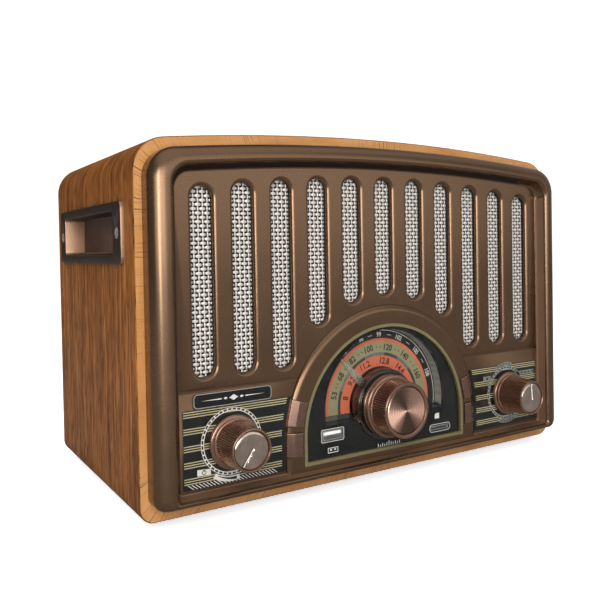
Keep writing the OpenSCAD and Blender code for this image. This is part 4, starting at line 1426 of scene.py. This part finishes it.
def make_volume_marks():
    """A power sign where the switch is off, and a growing wedge below the knob."""
    make_knob_ring("volume", "silver_ink")
    off_box = [(-122.2, 21.5), (-114.7, 21.2), (-114.9, 24.2), (-122.2, 24.7)]
    boxes = [off_box, ring_arc("volume", 18.0, 20.6, 238, 282, 14)]
    print_on("plate", "volume_boxes", boxes, "silver_ink", 1)
    x, z = -118.5, 22.9
    signs = [print_frame(circle(x, z, 1.25, 20), circle(x, z, 0.85, 20)),
             rect(x - 0.22, x + 0.22, z + 0.1, z + 1.35),
             level_wedge(RING_X["volume"], 18.5, 20.1, 243, 277)]
    print_on("plate", "volume_signs", signs, "black_ink", 2)


def make_function_marks():
    """Boxes with rows of ticks, and a dot."""
    make_knob_ring("function", "pale_grey_ink")
    boxes = [ring_arc("function", 18.0, 20.2, 250, 298, 14),
             ring_arc("function", 17.9, 20.4, 74, 118, 14),
             rect(109.6, 127.8, 46.6, 49.4), rect(79.6, 86.6, 45.9, 49.0)]
    print_on("plate", "function_boxes", boxes, "grey_ink", 1)
    signs = [ring_arc("function", 18.7, 19.5, a, a + 4, 3) for a in range(254, 292, 8)]
    signs += [ring_arc("function", 18.6, 19.7, a, a + 3, 3) for a in range(79, 112, 8)]
    signs += [rect(112 + 3.4 * k, 113.6 + 3.4 * k, 47.4, 48.6) for k in range(5)]
    signs += [circle(83.1, 47.4, 0.9)]
    print_on("plate", "function_signs", signs, "black_ink", 2)


make_stripes("left_plate_stripes", -1)
make_hatch()
make_stripes("right_plate_stripes", 1)
make_volume_marks()
make_function_marks()


# --- Badge: a thin border and a plain ornament of diamonds and tapering lines
BADGE = (-123.7, -79.0, 55.4, 62.8)


def diamond(x, z, a, b):
    return [(x - a, z), (x, z - b), (x + a, z), (x, z + b)]


def rounded(box, inset, r, steps=6):
    x0, x1, z0, z1 = box
    return round_rect(x0 + inset, x1 - inset, z0 + inset, z1 - inset, r, steps)


def make_badge():
    x0, x1, z0, z1 = BADGE
    border = print_frame(rounded(BADGE, 0.1, 2.1), rounded(BADGE, 0.42, 1.8))
    print_on("badge", "badge_border", [border], "pale_grey_ink")
    x, z = (x0 + x1) / 2, (z0 + z1) / 2
    marks = [diamond(x, z, 2.6, 1.5)]
    for side in (-1, 1):
        marks.append(diamond(x + side * 4.6, z, 1.2, 0.7))
        near = x + side * 6.8
        marks.append([(near, z - 0.32), (x + side * 18.5, z), (near, z + 0.32)])
    print_on("badge", "badge_ornament", marks, "silver_ink")


# --- Marks on the lens: lines round the sockets, a plug, a card and a row of ticks
USB_LINE = (-47.9, -32.4, 26.2, 33.6)
CARD_LINE = (31.9, 49.1, 19.7, 24.6)
TICK_LOW = 17.5


def make_panel_marks():
    marks = [print_frame(rounded(USB_LINE, 0, 1.0), rounded(USB_LINE, 0.35, 0.8)),
             print_frame(rounded(CARD_LINE, 0, 2.2), rounded(CARD_LINE, 0.3, 2.0)),
             print_frame(rect(-43.6, -36.6, 19.9, 22.9), rect(-43.2, -37.0, 20.3, 22.5)),
             rect(-42.2, -40.9, 21.2, 22.0), rect(-39.3, -38.0, 21.2, 22.0)]
    for k in range(-5, 6):
        tall = 2.9 if k == 0 else (2.1 if k % 2 == 1 else 1.5)
        marks.append(rect(k * 1.6 - 0.24, k * 1.6 + 0.24, TICK_LOW, TICK_LOW + tall))
    marks.append([(36.4, 28.0), (40.0, 28.0), (40.0, 31.3), (37.4, 31.3), (36.4, 30.3)])
    print_on("lens", "panel_marks", marks, "silver_ink")


def make_tongue():
    """The white tongue in the USB socket."""
    body = rect(-45.85, -34.15, 30.05, 31.85)
    tip = rect(-45.6, -34.4, 30.3, 31.6)
    rings = [standing(body, -1.0), standing(body, -6.9), standing(tip, -7.05)]
    tidied(piece("usb_tongue", loft(rings, cap=True), "cabinet", "cream_plastic", "white_tongue",
                 smooth=20))


make_badge()
make_panel_marks()
make_tongue()


# --- Finger cups: boxes are (front y, back y, bottom, top)
CUP_BODY = (27.2, 130.3, 132.2, 157.3)
CUP_PLATE = (14, 141, 128.5, 161)
CUP_MOUTH = (28.5, 129, 133.5, 156)
CUP_SCREWS = ((21.2, 144.75), (135.0, 144.75))
SCREW_R = 3.2
SCREW_DEEP = 1.8
PLATE_THICK = 2.0
CUP_FACE_INSET = 0.3
CUP_LIP = 0.5


def side_ring(x, box, inset, r):
    return [(x, y, z) for y, z in rounded(box, inset, r, 8)]


def cup_mat(points, front):
    """0 for the plate, 1 for the ends of the pocket that catch light, painted as a highlight, 2 for
    its inside.
    """
    middle = sum(points, Vector()) / len(points)
    span = max(p.y for p in points) - min(p.y for p in points)
    deep = abs(middle.x) < front - 0.1
    if span < 1.2 and deep and (middle.y < 16.8 or middle.y > 128):
        return 1
    return 2 if 28 < middle.y < 129.5 and deep else 0


def make_cup(side, node):
    """A plate with a pocket and two screw recesses, in one closed skin whose bright edges are a
    painted highlight.
    """
    lo, hi = local_box(node)
    back, front = sorted((abs(lo.x), abs(hi.x)))
    base = front - PLATE_THICK
    outer = [side_ring(side * x, CUP_BODY, 0, 1.5) for x in (back, base)]
    for x, inset in ((base, 0.0), (front - 0.3, 0.0), (front - 0.09, 0.09),
                     (front, CUP_FACE_INSET)):
        outer.append(side_ring(side * x, CUP_PLATE, inset, 4 - inset))
    inner = [side_ring(side * x, CUP_MOUTH, inset, 1.6 - 0.5 * inset) for x, inset in (
        (front, -CUP_LIP), (front - 0.15, -0.12), (front - 0.5, 0.0), (back + 1.9, 0.5),
        (back + 1.5, 0.9))]
    shape = Shape()
    shape.add(loft(outer))
    shape.close(outer[0])
    shape.add(loft(inner))
    shape.close(inner[-1])
    holes = [circle(y, z, SCREW_R, 32) for y, z in CUP_SCREWS]
    edges = [[(y, z) for _, y, z in ring] for ring in (outer[-1], inner[0])]
    flat, faces = filled(edges + holes, 0)
    shape.add(([(side * front, u, v) for u, _, v in flat], faces))
    for hole in holes:
        walls = [[(side * x, y, z) for y, z in hole] for x in (front, front - SCREW_DEEP)]
        shape.add(loft(walls))
        shape.close(walls[-1])
    shape.mats = [cup_mat([Vector(shape.verts[i]) for i in face], front) for face in shape.faces]
    obj = piece(node + "_skin", shape, "cabinet", "cup_plastic", "cup_plastic cup_edge cup_floor",
                smooth=35)
    tidied(obj, weld=1e-6)
    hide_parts(node)


make_cup(-1, "left_handle_cup")
make_cup(1, "right_handle_cup")


# --- Keys with soft edges
KEY_SHRINKS = (0.4, 0.12)


def key_profile(front, shrink):
    """The section of a key across the ridge, as [radius, y] points."""
    low = 60.85 + shrink
    top = front + shrink
    out = 70.1 - shrink
    return [(low, -1.2), (low, top + 0.4), (low + 0.12, top + 0.12), (low + 0.4, top),
            (65.8, top), (66.1, top + 0.06), (out - 0.35, -7.7 + shrink),
            (out - 0.08, -7.45 + shrink), (out, -7.1 + shrink), (out, -1.2)]


def make_key(name, stations):
    lo, _ = local_box(name)
    shrinks = [*KEY_SHRINKS] + [0] * (len(stations) - 4) + [*reversed(KEY_SHRINKS)]
    rings = []
    for place_on, shrink in zip(stations, shrinks):
        rings.extend(sweep(key_profile(lo.y, shrink), [place_on]))
    obj = piece(name + "_face", loft(rings, cap=True), name, "key_bronze", "key_copper", smooth=35)
    weighted(tidied(obj))
    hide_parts(name)


for key_side, side_name in ((-1, "left"), (1, "right")):
    high = [station(key_side, a) for a in (6.83, 6.9, 7.2, 18.6, 18.9, 18.97)]
    low = [station(key_side, 0, z) for z in (21.83, 21.9, 22.25, ARCH_Z)]
    low += [station(key_side, a) for a in (3.3, 3.62, 3.7)]
    make_key("upper_" + side_name + "_key", high)
    make_key("lower_" + side_name + "_key", low)


# --- Floor, light and background. The floor and the sky are white to the eye, pale to matt
# surfaces, and in mirrors the sky is dark with soft cards standing in it.
FLOOR_SIZE = 8.0
FLOOR_GLOSS = 0.26
FLOOR_GLOW = 0.72
SKY_FILL = 0.50
SKY_SEEN = 1.15
SKY_GLOSS = 0.05
LIT_POINT = (0, 0, 0.1)
WARM = (1.0, 0.97, 0.93)
# Soft cards seen in mirrors: direction towards the card, the cosines where it is full and gone,
# and its brightness.
CARDS = [
    ((-0.34, -0.94, 0.00), 0.995, 0.87, 4.0),
    ((-0.72, -0.69, 0.00), 0.985, 0.93, 2.2),
    ((0.36, -0.93, -0.02), 0.98, 0.76, 1.0),
    ((-0.99, -0.05, 0.12), 0.95, 0.60, 0.07),
    ((0.00, -0.35, 0.94), 0.95, 0.55, 0.65),
    ((0.95, 0.10, 0.25), 0.95, 0.60, 0.30),
]


def make_floor():
    mesh = bpy.data.meshes.new("floor")
    corners = rect(-FLOOR_SIZE, FLOOR_SIZE, -FLOOR_SIZE, FLOOR_SIZE)
    mesh.from_pydata([(x, y, 0) for x, y in corners], [], [(0, 1, 2, 3)])
    floor = bpy.data.objects.new("floor", mesh)
    bpy.context.scene.collection.objects.link(floor)
    mat = start("floor_paint")
    path = add(mat, "LightPath")
    grain = noise(mat, place(mat), 0.02, 2.0)
    white = mix(mat, grain, (0.88, 0.88, 0.88, 1), (0.90, 0.90, 0.90, 1))
    colour = mix(mat, path.outputs["Is Glossy Ray"], white, (FLOOR_GLOSS,) * 3 + (1,))
    glow = maths(mat, "MULTIPLY", path.outputs["Is Camera Ray"], FLOOR_GLOW)
    shader = add(mat, "BsdfPrincipled", Base_Color=colour, Emission_Strength=glow,
                 Emission_Color=(1, 1, 1, 1), Roughness=0.95, Specular_IOR_Level=0.0)
    mesh.materials.append(show(mat, shader))
    floor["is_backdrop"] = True


def sky_card(sky, ray, card):
    """The brightness of one card along a ray."""
    direction, full, gone, strength = card
    unit = tuple(v / Vector(direction).length for v in direction)
    facing = vectors(sky, "DOT_PRODUCT", ray, unit, "Value")
    return remap(sky, facing, gone, full, 0.0, strength, {"interpolation_type": "SMOOTHSTEP"})


def make_sky():
    sky = bpy.data.worlds.new("studio")
    sky.use_nodes = True
    ray = add(sky, "TexCoord").outputs["Generated"]
    path = add(sky, "LightPath")
    cards = SKY_GLOSS
    for card in CARDS:
        cards = maths(sky, "ADD", sky_card(sky, ray, card), cards)
    mirrored = maths(sky, "MULTIPLY", path.outputs["Is Glossy Ray"], cards)
    matt = remap(sky, path.outputs["Is Glossy Ray"], 0, 1, SKY_FILL, 0)
    seen = remap(sky, path.outputs["Is Camera Ray"], 0, 1, 0, SKY_SEEN - SKY_FILL)
    total = maths(sky, "ADD", maths(sky, "ADD", mirrored, matt), seen)
    back = sky.node_tree.nodes["Background"]
    back.inputs["Color"].default_value = (1, 1, 1, 1)
    plug(sky, total, back.inputs["Strength"])
    bpy.context.scene.world = sky


def area_light(name, where, size, power, colour=(1, 1, 1), mirrored=True):
    """A soft lamp that looks at the middle of the radio."""
    data = bpy.data.lights.new(name, "AREA")
    data.shape = "RECTANGLE"
    data.size, data.size_y = size
    data.energy = power
    data.color = colour
    lamp = bpy.data.objects.new(name, data)
    lamp.visible_glossy = mirrored
    lamp.location = where
    lamp.rotation_euler = (Vector(LIT_POINT) - Vector(where)).to_track_quat("-Z", "Y").to_euler()
    bpy.context.scene.collection.objects.link(lamp)


bpy.context.scene.view_settings.view_transform = "Standard"
make_floor()
make_sky()
area_light("key", (-0.75, -1.15, 1.1), (0.9, 0.9), 17, WARM, mirrored=False)
area_light("top_fill", (0.1, 0.2, 1.6), (1.2, 1.2), 9, mirrored=False)
area_light("left_strip", (-0.95, -1.25, 0.25), (0.22, 1.0), 5, WARM)


# --- Sizes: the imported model's box, then the visual model's
def as_list(box):
    return [[round(v, 6) for v in corner] for corner in box]


{"cad": as_list(cad_bounds), "visual": as_list(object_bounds())}
